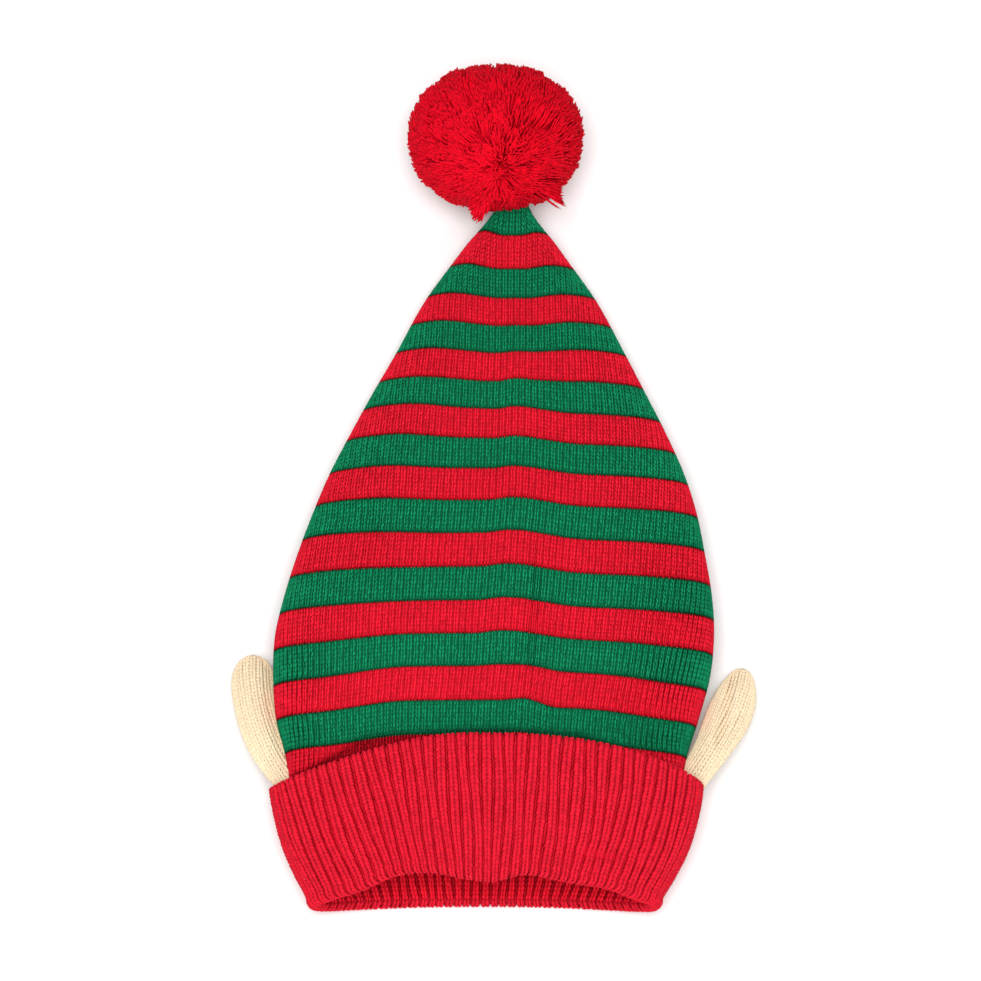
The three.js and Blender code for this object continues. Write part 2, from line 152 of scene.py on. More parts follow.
class Curve:
    """A smooth curve through the rows of a table, whose first column is places."""

    def __init__(self, rows: tuple, column: int = 1, scale: float = 1.0) -> None:
        """Keep one column of the table and work out the slope at each row.

        Args:
            rows: the table, its places rising.
            column: the column to follow.
            scale: what the column is multiplied by.
        """
        self.places = np.array([row[0] for row in rows], float)
        self.values = np.array([row[column] * scale for row in rows], float)
        last = len(rows) - 1
        low = np.maximum(np.arange(last + 1) - 1, 0)
        high = np.minimum(np.arange(last + 1) + 1, last)
        rise = self.values[high] - self.values[low]
        self.slopes = rise / (self.places[high] - self.places[low])

    def at(self, place: Array) -> Array:
        """Return the curve's value at each place.

        Args:
            place: places in the first column.

        Returns:
            The values there, and at the first or last row beyond its ends.
        """
        place = np.clip(place, self.places[0], self.places[-1])
        row = np.clip(np.searchsorted(self.places, place) - 1, 0, len(self.places) - 2)
        span = self.places[row + 1] - self.places[row]
        share = (place - self.places[row]) / span
        square, cube = share**2, share**3
        return (
            (2 * cube - 3 * square + 1) * self.values[row]
            + (cube - 2 * square + share) * self.slopes[row] * span
            + (3 * square - 2 * cube) * self.values[row + 1]
            + (cube - square) * self.slopes[row + 1] * span
        )


@dataclass
class Section:
    """The box round the hat's outline at each of several stations along it."""

    centre: Array
    half: Array
    bottom: Array
    top: Array


@dataclass
class Tube:
    """The soft tube under the knitting: its sizes and its sections, as in the solids."""

    width: float = 0.237
    height: float = 0.070
    crown_length: float = 0.349
    band_rise: float = 0.048
    band_wall: float = 0.0032
    layer_gap: float = 0.0014
    cuff_front: float = 0.079
    cuff_side: float = 0.0585
    cuff_flare: float = 0.002
    pocket: float = 0.008
    fold_droop: float = 0.004
    fold_arch: float = 0.004
    peak_rise: float = 0.020
    rise_start: float = 0.84
    # Rows of (along, centre, half width, height), as shares of the sizes above.
    band_rows: tuple = (
        (0.0, -0.042, 0.762, 0.66),
        (0.25, -0.038, 0.815, 0.70),
        (0.55, -0.035, 0.855, 0.77),
    )
    crown_rows: tuple = (
        (0.0, -0.034, 0.878, 0.84),
        (0.073, -0.035, 0.902, 0.93),
        (0.138, -0.028, 0.957, 0.98),
        (0.204, -0.008, 0.992, 1.0),
        (0.268, 0.004, 0.998, 0.985),
        (0.333, 0.02, 0.973, 0.94),
        (0.4, 0.034, 0.93, 0.88),
        (0.465, 0.05, 0.88, 0.82),
        (0.53, 0.06, 0.815, 0.75),
        (0.597, 0.067, 0.727, 0.68),
        (0.663, 0.071, 0.632, 0.61),
        (0.729, 0.077, 0.533, 0.54),
        (0.827, 0.079, 0.385, 0.43),
        (0.905, 0.082, 0.218, 0.32),
        (0.942, 0.086, 0.122, 0.24),
        (0.965, 0.088, 0.078, 0.18),
        (1.0, 0.085, 0.05, 0.12),
    )

    def __post_init__(self) -> None:
        """Make the curves that the sections are read from."""
        rise, length = self.band_rise, self.crown_length
        rows = [(along * rise, *rest) for along, *rest in self.band_rows]
        rows += [(rise + along * length, *rest) for along, *rest in self.crown_rows]
        self._centre, self._half, self._height = (Curve(rows, column) for column in (1, 2, 3))

    @property
    def peak(self) -> float:
        """How far the peak is from the fold."""
        return self.band_rise + self.crown_length

    def inner(self, along: Array) -> Section:
        """Return the sections of the band's inner layer and of the crown.

        Args:
            along: distances from the fold.

        Returns:
            A box at each of them.
        """
        start = self.band_rise + self.rise_start * self.crown_length
        over_cuff = 1.0 - smooth_step(self.cuff_side, self.cuff_side * 1.5, along)
        to_peak = smooth_step(start, self.peak, along)
        bottom = over_cuff * (self.band_wall + self.layer_gap) + to_peak * self.peak_rise
        return Section(
            self._centre.at(along) * self.width / 2,
            self._half.at(along) * self.width / 2,
            bottom,
            bottom + self._height.at(along) * self.height,
        )

    def cuff(self, along: Array) -> Section:
        """Return the sections of the turned-up layer's outer face.

        Args:
            along: distances from the fold.

        Returns:
            A box at each of them.
        """
        inner = self.inner(along)
        opened = smooth_step(0.0, self.cuff_side, along)
        flared = smooth_step(self.cuff_side, self.cuff_front, along)
        gap = self.layer_gap + (self.pocket - self.layer_gap) * opened
        return Section(
            inner.centre,
            inner.half + self.band_wall + gap,
            np.zeros_like(inner.centre),
            inner.top + self.band_wall + self.layer_gap + self.cuff_flare * flared,
        )


class Rings:
    """Outlines of the tube, evenly spaced along it, to look a place up between them.

    An outline is widest at WIDEST of its height. Its front and back are rounded by
    powers, and PRESS is how far it would reach below the floor that flattens it.
    """

    SAMPLES = 720
    COLUMNS = 640
    WIDEST = 0.42
    FRONT_POWER = 2.3
    BACK_POWER = 3.4
    PRESS = 0.02

    def __init__(self, sections: Callable[[Array], Section], low: float, high: float) -> None:
        """Work the outlines out.

        Args:
            sections: gives the section at each station.
            low: the first station.
            high: the last station.
        """
        self.low = low
        self.stations = np.arange(low, high + MM, MM)
        box = sections(self.stations)
        angle = np.linspace(-math.pi / 2, 1.5 * math.pi, self.SAMPLES + 1)
        c, s = np.cos(angle), np.sin(angle)
        power = np.where(s > 0, 2 / self.FRONT_POWER, 2 / self.BACK_POWER)
        height = (box.top - box.bottom)[:, None]
        widest = box.bottom[:, None] + self.WIDEST * height
        above = box.top[:, None] - widest
        below = widest - box.bottom[:, None] + self.PRESS * height
        x = box.centre[:, None] + box.half[:, None] * np.sign(c) * np.abs(c) ** power
        z = widest + np.where(s > 0, above, below) * np.sign(s) * np.abs(s) ** power
        z = np.maximum(z, box.bottom[:, None])
        steps = np.hypot(np.diff(x, axis=1), np.diff(z, axis=1))
        length = np.concatenate([np.zeros((len(x), 1)), np.cumsum(steps, axis=1)], axis=1)
        self.girth = length[:, -1]
        wanted = np.linspace(0, 1, self.COLUMNS + 1)
        tables = np.broadcast_arrays(x, z, np.maximum(s, 0) ** 2, c * c)
        even = np.empty((4, len(x), self.COLUMNS + 1))
        for row, path in enumerate(length):
            for table, values in zip(even, tables):
                table[row] = np.interp(wanted, path / path[-1], values[row])
        self.x, self.z, self.rise, self.side = even
        dx, dz = self.turn(self.x), self.turn(self.z)
        size = np.hypot(dx, dz)
        self.nx, self.nz = dz / size, -dx / size

    @staticmethod
    def turn(table: Array) -> Array:
        """Return how a table changes round each outline.

        Args:
            table: a row for each outline, its last value the same as its first.

        Returns:
            The change at each place.
        """
        loop = table[:, :-1]
        change = np.roll(loop, -2, axis=1) - np.roll(loop, 2, axis=1)
        return np.concatenate([change, change[:, :1]], axis=1)

    def look_up(self, tables: list[Array], along: Array, around: Array) -> list[Array]:
        """Read tables between their rows and columns.

        Args:
            tables: the tables to read.
            along: distances from the fold.
            around: how far round, from 0 to 1.

        Returns:
            One array of values for each table.
        """
        row, column = (along - self.low) / MM, (around % 1.0) * self.COLUMNS
        return [blend(table, row, column) for table in tables]

    def place(self, along: Array, around: Array, out: Array) -> Array:
        """Return points that stand off the outlines.

        Args:
            along: distances from the fold.
            around: how far round, from 0 to 1.
            out: how far each point stands off.

        Returns:
            The points, in the last axis of the array.
        """
        x, z, nx, nz = self.look_up([self.x, self.z, self.nx, self.nz], along, around)
        return np.stack([x + nx * out, along + 0 * x, z + nz * out], axis=-1)


class Cloth:
    """A closed run of rings of points, with normals, to lay yarn on."""

    def __init__(self, points: Array) -> None:
        """Keep the points and work the outward normals out.

        Args:
            points: rows of rings, each ring from the middle of the back round to it.
        """
        along = np.gradient(points, axis=0)
        round_it = np.roll(points, -1, axis=1) - np.roll(points, 1, axis=1)
        normal = unit(np.cross(along, round_it))
        middle = points.mean(axis=1, keepdims=True)
        if ((points - middle) * normal).sum() < 0:
            normal = -normal
        self.rows, self.columns = points.shape[:2]
        self.points = np.concatenate([points, points[:, :1]], axis=1)
        self.normals = np.concatenate([normal, normal[:, :1]], axis=1)
        ring = np.diff(self.points, axis=1)
        self.girth = np.linalg.norm(ring, axis=2).sum(axis=1)

    def sunk(self, depth: Array) -> Array:
        """Return the cloth's rings, moved inwards by a depth."""
        return self.points[:, :-1] - self.normals[:, :-1] * depth

    def place(self, row: Array, around: Array, out: Array) -> Array:
        """Return points on the cloth.

        Args:
            row: rows, as fractions too.
            around: how far round, from 0 to 1.
            out: how far each point stands off the cloth.

        Returns:
            The points, in the last axis of the array.
        """
        column = (around % 1.0) * self.columns
        off = blend(self.normals, row, column) * np.asarray(out)[..., None]
        return blend(self.points, row, column) + off

    def girth_at(self, row: Array) -> Array:
        """Return the way round the cloth at each row."""
        return np.interp(row, np.arange(self.rows), self.girth)


@dataclass
class Shape:
    """A small mesh that is modelled once and then copied many times."""

    points: Array
    triangles: Array
    uv: Array

    @classmethod
    def grain(cls, segments: int, rings: int) -> "Shape":
        """Model a plump grain of unit length along Y, with a pole at each end.

        Args:
            segments: sides round the grain.
            rings: bands from pole to pole.

        Returns:
            The grain, one unit wide, long and thick.
        """
        bpy.ops.object.select_all(action="DESELECT")
        bpy.ops.mesh.primitive_uv_sphere_add(segments=segments, ring_count=rings, radius=0.5)
        grain = bpy.context.object
        with editing("SELECT"):
            for axis in ("X", "Y"):
                bpy.ops.transform.rotate(
                    value=math.pi / 2, orient_axis=axis, center_override=(0, 0, 0)
                )
            bpy.ops.mesh.quads_convert_to_tris()
        mesh = grain.data
        shape = cls(
            np.array([v.co for v in mesh.vertices]),
            np.array([list(p.vertices) for p in mesh.polygons]),
            np.array(
                [[mesh.uv_layers[0].data[i].uv for i in p.loop_indices] for p in mesh.polygons]
            ),
        )
        bpy.data.objects.remove(grain, do_unlink=True)
        return shape


@dataclass
class Strands:
    """Many copies of a shape, collected before they become one mesh."""

    MARGIN = 0.06

    points: list[Array] = field(default_factory=list)
    triangles: list[Array] = field(default_factory=list)
    uv: list[Array] = field(default_factory=list)
    yarn: list[Array] = field(default_factory=list)
    copies: int = 0

    def add(self, shape: Shape, placed: Array, yarn: Array, flip: bool) -> None:
        """Add copies of a shape.

        Args:
            shape: the shape that is copied.
            placed: the points of each copy, one row for each.
            yarn: crest, low for painted shade, tint and twist at each of those points.
            flip: whether the copies are mirrored, so that their faces turn round.
        """
        count, size = placed.shape[:2]
        if not count:
            return
        start = sum(len(block) for block in self.points)
        order = shape.triangles[:, ::-1] if flip else shape.triangles
        uv = shape.uv[:, ::-1] if flip else shape.uv
        steps = start + np.arange(count)[:, None, None] * size
        self.points.append(placed.reshape(-1, 3))
        self.triangles.append((order[None] + steps).reshape(-1, 3))
        self.uv.append(np.broadcast_to(uv.reshape(1, -1, 2), (count, uv.size // 2, 2)))
        self.yarn.append(yarn.reshape(-1, 3))
        self.copies += count

    def piece(self, name: str, finish: Material) -> Object:
        """Make one object of all the copies.

        Args:
            name: the object's name.
            finish: its material.

        Returns:
            The object, with a bake map that has a cell for each copy.
        """
        mesh = bpy.data.meshes.new(name)
        mesh.from_pydata(np.concatenate(self.points), [], np.concatenate(self.triangles))
        mesh.shade_smooth()
        cells = math.ceil(math.sqrt(self.copies))
        blocks, first = [], 0
        for block in self.uv:
            number = first + np.arange(len(block))
            corner = np.stack([number % cells, number // cells], axis=1)[:, None]
            inside = corner + self.MARGIN + (1 - 2 * self.MARGIN) * block
            blocks.append((inside / cells).reshape(-1, 2))
            first += len(block)
        bake_map = mesh.uv_layers.new(name="OFBake")
        bake_map.data.foreach_set("uv", np.concatenate(blocks).astype(np.float32).ravel())
        paint(mesh, np.concatenate(self.yarn))
        return dressed(name, mesh, finish)


def paint(mesh: Mesh, yarn: Array | tuple[float, float, float]) -> None:
    """Store the yarn's look on a mesh.

    Args:
        mesh: the mesh.
        yarn: crest, low for painted shade, tint and twist, at each point or the same at all.
    """
    colours = np.ones((len(mesh.vertices), 4), np.float32)
    colours[:, :3] = yarn
    layer = mesh.color_attributes.new(name="Yarn", type="FLOAT_COLOR", domain="POINT")
    layer.data.foreach_set("color", colours.ravel())


def dressed(name: str, mesh: Mesh, finish: Material) -> Object:
    """Make an object of a mesh, with its material, that rides on the hat.

    Args:
        name: the object's name.
        mesh: its mesh.
        finish: its material.

    Returns:
        The object.
    """
    piece = bpy.data.objects.new(name, mesh)
    bpy.context.scene.collection.objects.link(piece)
    mesh.materials.append(finish)
    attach(piece, "root")
    return piece


def sheet_of(name: str, points: Array, finish: Material) -> Object:
    """Shape a grid into a tube of rings and sew it shut down its back.

    Args:
        name: the new object's name.
        points: rows of rings.
        finish: its material.

    Returns:
        The tube, open at both ends and one face thick.
    """
    rows, columns = points.shape[:2]
    bpy.ops.object.select_all(action="DESELECT")
    bpy.ops.mesh.primitive_grid_add(x_subdivisions=columns, y_subdivisions=rows - 1, size=1)
    tube = bpy.context.object
    tube.name = tube.data.name = name
    closed = np.concatenate([points, points[:, :1]], axis=1).reshape(-1, 3)
    tube.data.vertices.foreach_set("co", closed.ravel())
    with editing("SELECT"):
        bpy.ops.mesh.remove_doubles(threshold=0.02 * MM)
    tube.data.shade_smooth()
    tube.data.materials.append(finish)
    return tube


def apply(piece: Object, modifier: bpy.types.Modifier) -> None:
    """Apply a piece's modifier, as it stands at this frame.

    Args:
        piece: the piece.
        modifier: the modifier, which goes.
    """
    bpy.ops.object.select_all(action="DESELECT")
    piece.select_set(True)
    bpy.context.view_layer.objects.active = piece
    bpy.ops.object.modifier_apply(modifier=modifier.name)


def thicken(piece: Object, wall: float) -> None:
    """Make a sheet into a wall, inwards.

    Args:
        piece: the sheet.
        wall: how thick the wall is.
    """
    solidify = piece.modifiers.new("Wall", "SOLIDIFY")
    solidify.thickness, solidify.offset = wall, -1
    apply(piece, solidify)


@dataclass(frozen=True)
class YarnFinish:
    """A matt yarn: its colour on the crest of a stitch, and a darker one for painted shade in the
    gap beside it.
    """

    name: str
    crest: tuple[float, float, float]
    gap: tuple[float, float, float]
    tint: float = 0.12
    unevenness: float = 0.10
    fuzz: float = 0.30
    sheen: float = 0.08
    sheen_roughness: float = 0.5
    specular: float = 0.06
    relief: float = 0.6
    relief_depth: float = 0.4 * MM

    def material(self, group: bpy.types.NodeTree) -> Material:
        """Build the material around the shared yarn group.

        Args:
            group: the yarn group.

        Returns:
            The material.
        """
        made = bpy.data.materials.new(self.name)
        made.use_nodes = True
        nodes, links = made.node_tree.nodes, made.node_tree.links
        shader = nodes["Principled BSDF"]
        yarn = nodes.new("ShaderNodeGroup")
        yarn.node_tree = group
        yarn.location = (-420, 100)
        relief = nodes.new("ShaderNodeBump")
        relief.location = (-200, -260)
        for node, name, value in (
            (shader, "Sheen Weight", self.sheen),
            (shader, "Sheen Roughness", self.sheen_roughness),
            (shader, "Sheen Tint", (*self.crest, 1)),
            (shader, "Specular IOR Level", self.specular),
            (yarn, "Crest", (*self.crest, 1)),
            (yarn, "Gap Shade", (*self.gap, 1)),
            (yarn, "Tint", self.tint),
            (yarn, "Unevenness", self.unevenness),
            (yarn, "Fuzz", self.fuzz),
            (relief, "Strength", self.relief),
            (relief, "Distance", self.relief_depth),
        ):
            node.inputs[name].default_value = value
        links.new(yarn.outputs["Height"], relief.inputs["Height"])
        links.new(yarn.outputs["Colour"], shader.inputs["Base Color"])
        links.new(yarn.outputs["Roughness"], shader.inputs["Roughness"])
        links.new(relief.outputs["Normal"], shader.inputs["Normal"])
        return made


class YarnGroup:
    """The shared look of yarn: painted shade in the gaps, uneven dye, loose fibres and ply twist.

    A crest of 0 is the darkest. Below DARK_CREST the yarn is darkened, for the dark lines where
    stripes meet and for painted shade, and it has its full colour from FULL_CREST on.
    """

    DYE_SCALE = 38.0
    WOOL_SCALE = 620.0
    FIBRE_SCALE = 2600.0
    PLY_TURNS = 40.0
    PLY_DEPTH = 0.22
    WOOL_DEPTH = 0.8
    DARK_CREST = 0.28
    DARK_LIGHT = 0.22
    FULL_CREST = 0.85
    CONTRAST = 1.6
    ROUGHNESS = 0.8
    ROUGHNESS_SWING = 0.16

    def __init__(self) -> None:
        """Start an empty group with its named inputs and outputs."""
        self.tree = bpy.data.node_groups.new("Yarn", "ShaderNodeTree")
        for name, kind, value in (
            ("Crest", "NodeSocketColor", (0.8, 0.1, 0.1, 1)),
            ("Gap Shade", "NodeSocketColor", (0.2, 0.02, 0.02, 1)),
            ("Tint", "NodeSocketFloat", 0.15),
            ("Unevenness", "NodeSocketFloat", 0.1),
            ("Fuzz", "NodeSocketFloat", 0.3),
        ):
            socket = self.tree.interface.new_socket(name, in_out="INPUT", socket_type=kind)
            socket.default_value = value
        for name, kind in (
            ("Colour", "NodeSocketColor"),
            ("Roughness", "NodeSocketFloat"),
            ("Height", "NodeSocketFloat"),
        ):
            self.tree.interface.new_socket(name, in_out="OUTPUT", socket_type=kind)
        self.start = self.tree.nodes.new("NodeGroupInput")
        self.end = self.tree.nodes.new("NodeGroupOutput")
        self.end.location = (1500, 0)
        self.column = 0

    def node(self, kind: str, **inputs: object) -> bpy.types.Node:
        """Add a node and fill or link its inputs.

        Args:
            kind: the node's type.
            inputs: a value, or the output that feeds it, for each input by number
                as i0, i1 and so on, and any of the node's own settings by name.

        Returns:
            The node.
        """
        made = self.tree.nodes.new(kind)
        self.column += 1
        made.location = (160 * (self.column % 8), -220 * (self.column // 8))
        for key, value in inputs.items():
            if not (key[0] == "i" and key[1:].isdigit()):
                setattr(made, key, value)
                continue
            socket = made.inputs[int(key[1:])]
            if isinstance(value, NodeSocket):
                self.tree.links.new(value, socket)
            else:
                socket.default_value = value
        return made

    def math(self, operation: str, *values: object) -> NodeSocket:
        """Add a Math node and return what it puts out."""
        inputs = {f"i{number}": value for number, value in enumerate(values)}
        return self.node("ShaderNodeMath", operation=operation, **inputs).outputs[0]

    def noise(self, place: NodeSocket, scale: float, detail: float) -> NodeSocket:
        """Add a Noise node and return what it puts out."""
        return self.node("ShaderNodeTexNoise", i0=place, i2=scale, i3=detail).outputs[0]

    def swing(self, value: NodeSocket, amount: NodeSocket) -> NodeSocket:
        """Centre a value from 0 to 1 about 0 and scale it by an amount."""
        return self.math("MULTIPLY", self.math("SUBTRACT", value, 0.5), amount)

    def rise(self, crest: NodeSocket, end: float, low: float) -> NodeSocket:
        """Return a smooth rise, from low where the crest is 0, to 1 at an end."""
        ramp = {"interpolation_type": "SMOOTHSTEP", "i1": 0.0, "i2": end, "i3": low}
        return self.node("ShaderNodeMapRange", i0=crest, **ramp).outputs[0]

    def build(self) -> bpy.types.NodeTree:
        """Wire the group up.

        Returns:
            The finished group.
        """
        given = self.start.outputs
        layer = self.node("ShaderNodeAttribute", attribute_name="Yarn").outputs["Color"]
        crest, tint, twist = self.node("ShaderNodeSeparateColor", i0=layer).outputs[:3]
        place = self.node("ShaderNodeTexCoord").outputs["Object"]
        dye = self.noise(place, self.DYE_SCALE, 3.0)
        fibre = self.noise(place, self.FIBRE_SCALE, 2.0)
        wool = self.noise(place, self.WOOL_SCALE, 4.0)
        # Painted shade: a low crest mixes in the darker gap colour.
        depth = self.rise(crest, self.FULL_CREST, 0.0)
        mixed = {"data_type": "RGBA", "i6": given["Gap Shade"], "i7": given["Crest"]}
        colour = self.node("ShaderNodeMix", i0=depth, **mixed).outputs[2]
        sources = ((tint, "Tint"), (dye, "Unevenness"), (wool, "Fuzz"), (fibre, "Fuzz"))
        swings = [self.swing(value, given[name]) for value, name in sources]
        large, small = self.math("ADD", *swings[:2]), self.math("ADD", *swings[2:])
        spread = self.math("MULTIPLY", self.math("ADD", large, small), self.CONTRAST)
        # The dark lines where stripes meet, and painted shade: a crest below DARK_CREST darkens
        # the yarn.
        dark = self.rise(crest, self.DARK_CREST, self.DARK_LIGHT)
        value = self.math("MULTIPLY", self.math("ADD", spread, 1.0), dark)
        shaded = self.node("ShaderNodeHueSaturation", i2=value, i4=colour).outputs[0]
        rough = self.math("MULTIPLY", fibre, self.ROUGHNESS_SWING)
        roughness = self.math("ADD", rough, self.ROUGHNESS)
        ply = self.math("SINE", self.math("MULTIPLY", twist, self.PLY_TURNS))
        hairs = self.math("ADD", fibre, self.math("MULTIPLY", wool, self.WOOL_DEPTH))
        height = self.math("ADD", hairs, self.math("MULTIPLY", ply, self.PLY_DEPTH))
        for socket, result in zip(self.end.inputs, (shaded, roughness, height)):
            self.tree.links.new(result, socket)
        return self.tree


@dataclass(frozen=True)
class Gauge:
    """How big the stitches of one knitted piece are, and how their legs lie.

    Rows are of the cloth. Wale gives a stitch's width at each course, and is needed only
    where courses are listed. Across the stitch, lengths are shares of its width, and
    along it they are shares of a course.
    """

    course_rows: float
    wale: Callable[[Array], Array] | None = None
    leg_width: float = 0.46
    leg_length: float = 1.5
    thickness: float = 1.5 * MM
    lift: float = -0.5 * MM
    foot: float = 0.14
    spread: float = 0.15
    arch: float = 0.22
    unevenness: float = 0.05


class Knitting:
    """Lays the legs of stocking stitches on a cloth.

    The uneven shares say how much of the gauge's unevenness goes into the length of a
    leg, its place across the stitch and its place along the course.
    """

    LENGTH_UNEVEN = 0.6
    ACROSS_UNEVEN = 0.35
    ALONG_UNEVEN = 0.4
    LEG_MIDDLE = 0.25
    CREST_MIDDLE = 0.78
    CREST_RISE = 0.5
    END_SHADE = 0.2
    TWIST_LEAN = 0.4

    def __init__(self, cloth: Cloth, gauge: Gauge, seed: int) -> None:
        """Keep the cloth, the gauge and a seeded source of unevenness.

        Args:
            cloth: what the stitches lie on.
            gauge: how big they are.
            seed: where the unevenness starts.
        """
        self.cloth = cloth
        self.gauge = gauge
        self.random = np.random.default_rng(seed)

    def courses(self, first: float, last: float) -> Stitches:
        """List the stitches of several courses.

        Args:
            first: the first course.
            last: the course after the last one.

        Returns:
            The course, the place round the cloth and the share of the girth of each.
        """
        rows, places, widths = [], [], []
        for course in np.arange(first + 0.5, last, 1.0):
            row = np.array([course * self.gauge.course_rows])
            girth = self.cloth.girth_at(row)[0]
            wale = self.gauge.wale(np.array([course]))[0]
            half = int(girth / wale / 2 - 0.2)
            stitch = np.arange(-half, half + 1)
            rows.append(np.full(len(stitch), course))
            places.append(0.5 - stitch * wale / girth)
            widths.append(np.full(len(stitch), wale / girth))
        return np.concatenate(rows), np.concatenate(places), np.concatenate(widths)

    def lay(self, strands: Strands, shape: Shape, stitches: Stitches, shade: Shade) -> None:
        """Lay both legs of each stitch.

        Args:
            strands: where the legs are collected.
            shape: the grain that each leg is made of.
            stitches: the course, place round the cloth and width of each stitch.
            shade: the painted shade, how light the yarn is at each course and place, from 0 to 1.
        """
        gauge = self.gauge
        course, around, width = (part[:, None] for part in stitches)
        if not len(course):
            return
        x, y, z = (shape.points[None, :, k] for k in range(3))
        for lean in Lean:
            uneven = self.random.normal(0, gauge.unevenness, (4, len(course), 1))
            y_now = y * (1 + uneven[0] * self.LENGTH_UNEVEN)
            across = (
                gauge.foot
                + gauge.spread * np.clip(y_now + 0.5, 0, 1.2)
                + x * gauge.leg_width * (1 + uneven[1])
                + uneven[2] * self.ACROSS_UNEVEN
            )
            bowed = z + self.LEG_MIDDLE - gauge.arch * (2 * y) ** 2
            up = gauge.lift + gauge.thickness * bowed
            row = course + y_now * gauge.leg_length + uneven[3] * self.ALONG_UNEVEN
            place = around - lean.value * across * width
            out = np.broadcast_to(up, row.shape)
            points = self.cloth.place(row * gauge.course_rows, place, out)
            # Painted shade: the crest is lower down a leg's sides and at its ends, where it meets
            # the gaps.
            ends = 1 - self.END_SHADE * np.abs(2 * y) ** 3
            crest = np.clip(self.CREST_MIDDLE + self.CREST_RISE * z, 0, 1) * ends
            tint = np.broadcast_to(self.random.random((len(course), 1)), row.shape)
            twist = np.broadcast_to((y * 0.5 + 0.5) + self.TWIST_LEAN * x, row.shape)
            yarn = np.stack([crest * shade(row, place), tint, twist], axis=-1)
            strands.add(shape, points, yarn, flip=lean is Lean.LEFT)


def full_light(row: Array, place: Array) -> Array:
    """Return the lightness of yarn that nothing shades, which is 1."""
    return np.ones(np.broadcast(row, place).shape)


@dataclass(frozen=True)
class Fold:
    """A soft dent or ridge of the knitting, outwards where its depth is above 0."""

    along: float
    around: float
    length: float
    width: float
    depth: float

    def at(self, along: Array, around: Array) -> Array:
        """Return how far the fold pushes the surface out."""
        across = bump(around, self.around, self.width)
        return self.depth * bump(along, self.along, self.length) * across


@dataclass(frozen=True)
class Slip:
    """A stretch of the crown whose stripes lie nearer to the cuff than they should.

    It reaches from its edge round to one side, and from low to high along the crown.
    """

    side: Side
    edge: float
    blend: float
    low: float
    high: float
    drop: float
    fade: float = 0.05

    def at(self, along: Array, around: Array) -> Array:
        """Return how far the stripes are moved along the crown.

        Args:
            along: places along the crown, as shares of its length.
            around: places round it, as shares.

        Returns:
            The move at each place, towards the cuff below 0.
        """
        beyond = smooth_step(self.edge - self.blend, self.edge + self.blend, around)
        if self.side is Side.RIGHT:
            beyond = 1 - beyond
        started = smooth_step(self.low - self.fade, self.low + self.fade, along)
        ended = smooth_step(self.high - self.fade, self.high + self.fade, along)
        return -self.drop * beyond * started * (1 - ended)


@dataclass(frozen=True)
class Gather:
    """A patch of fine furrows between wales, which fades out along the crown."""

    around: float
    width: float
    fades: float
    ends: float

    def at(self, share: Array, around: Array) -> Array:
        """Return how strong the furrows are, from 0 to 1."""
        kept = 1 - smooth_step(self.fades, self.ends, share)
        return bump(around, self.around, self.width) * kept


@dataclass(frozen=True)
class StripeShade:
    """How light one stripe is: darker at its ends and in streaks, with painted shade in furrows.
    """

    painted_shade: Shade
    first: int
    last: int
    seam_courses: float = 0.6
    seam_light: float = 0.02
    light: float = 0.93
    streak: float = 0.055
    streaks: tuple[int, int] = (61, 97)
    painted_shade_strength: float = 0.93

    def __call__(self, row: Array, place: Array) -> Array:
        """Return how light the yarn is.

        Args:
            row: courses from the seam.
            place: places round the crown.

        Returns:
            The lightness at each place, from 0 to 1.
        """
        near = np.minimum(row - self.first, self.last - row)
        end = smooth_step(0.0, self.seam_courses, near)
        waves = sum(np.sin(TAU * number * place) for number in self.streaks)
        # Painted shade in the furrows and along the cuff's edge.
        lit = 1 - self.painted_shade_strength * self.painted_shade(row, place)
        seam = self.seam_light + (1 - self.seam_light) * end
        return seam * (self.light - self.streak * waves) * lit


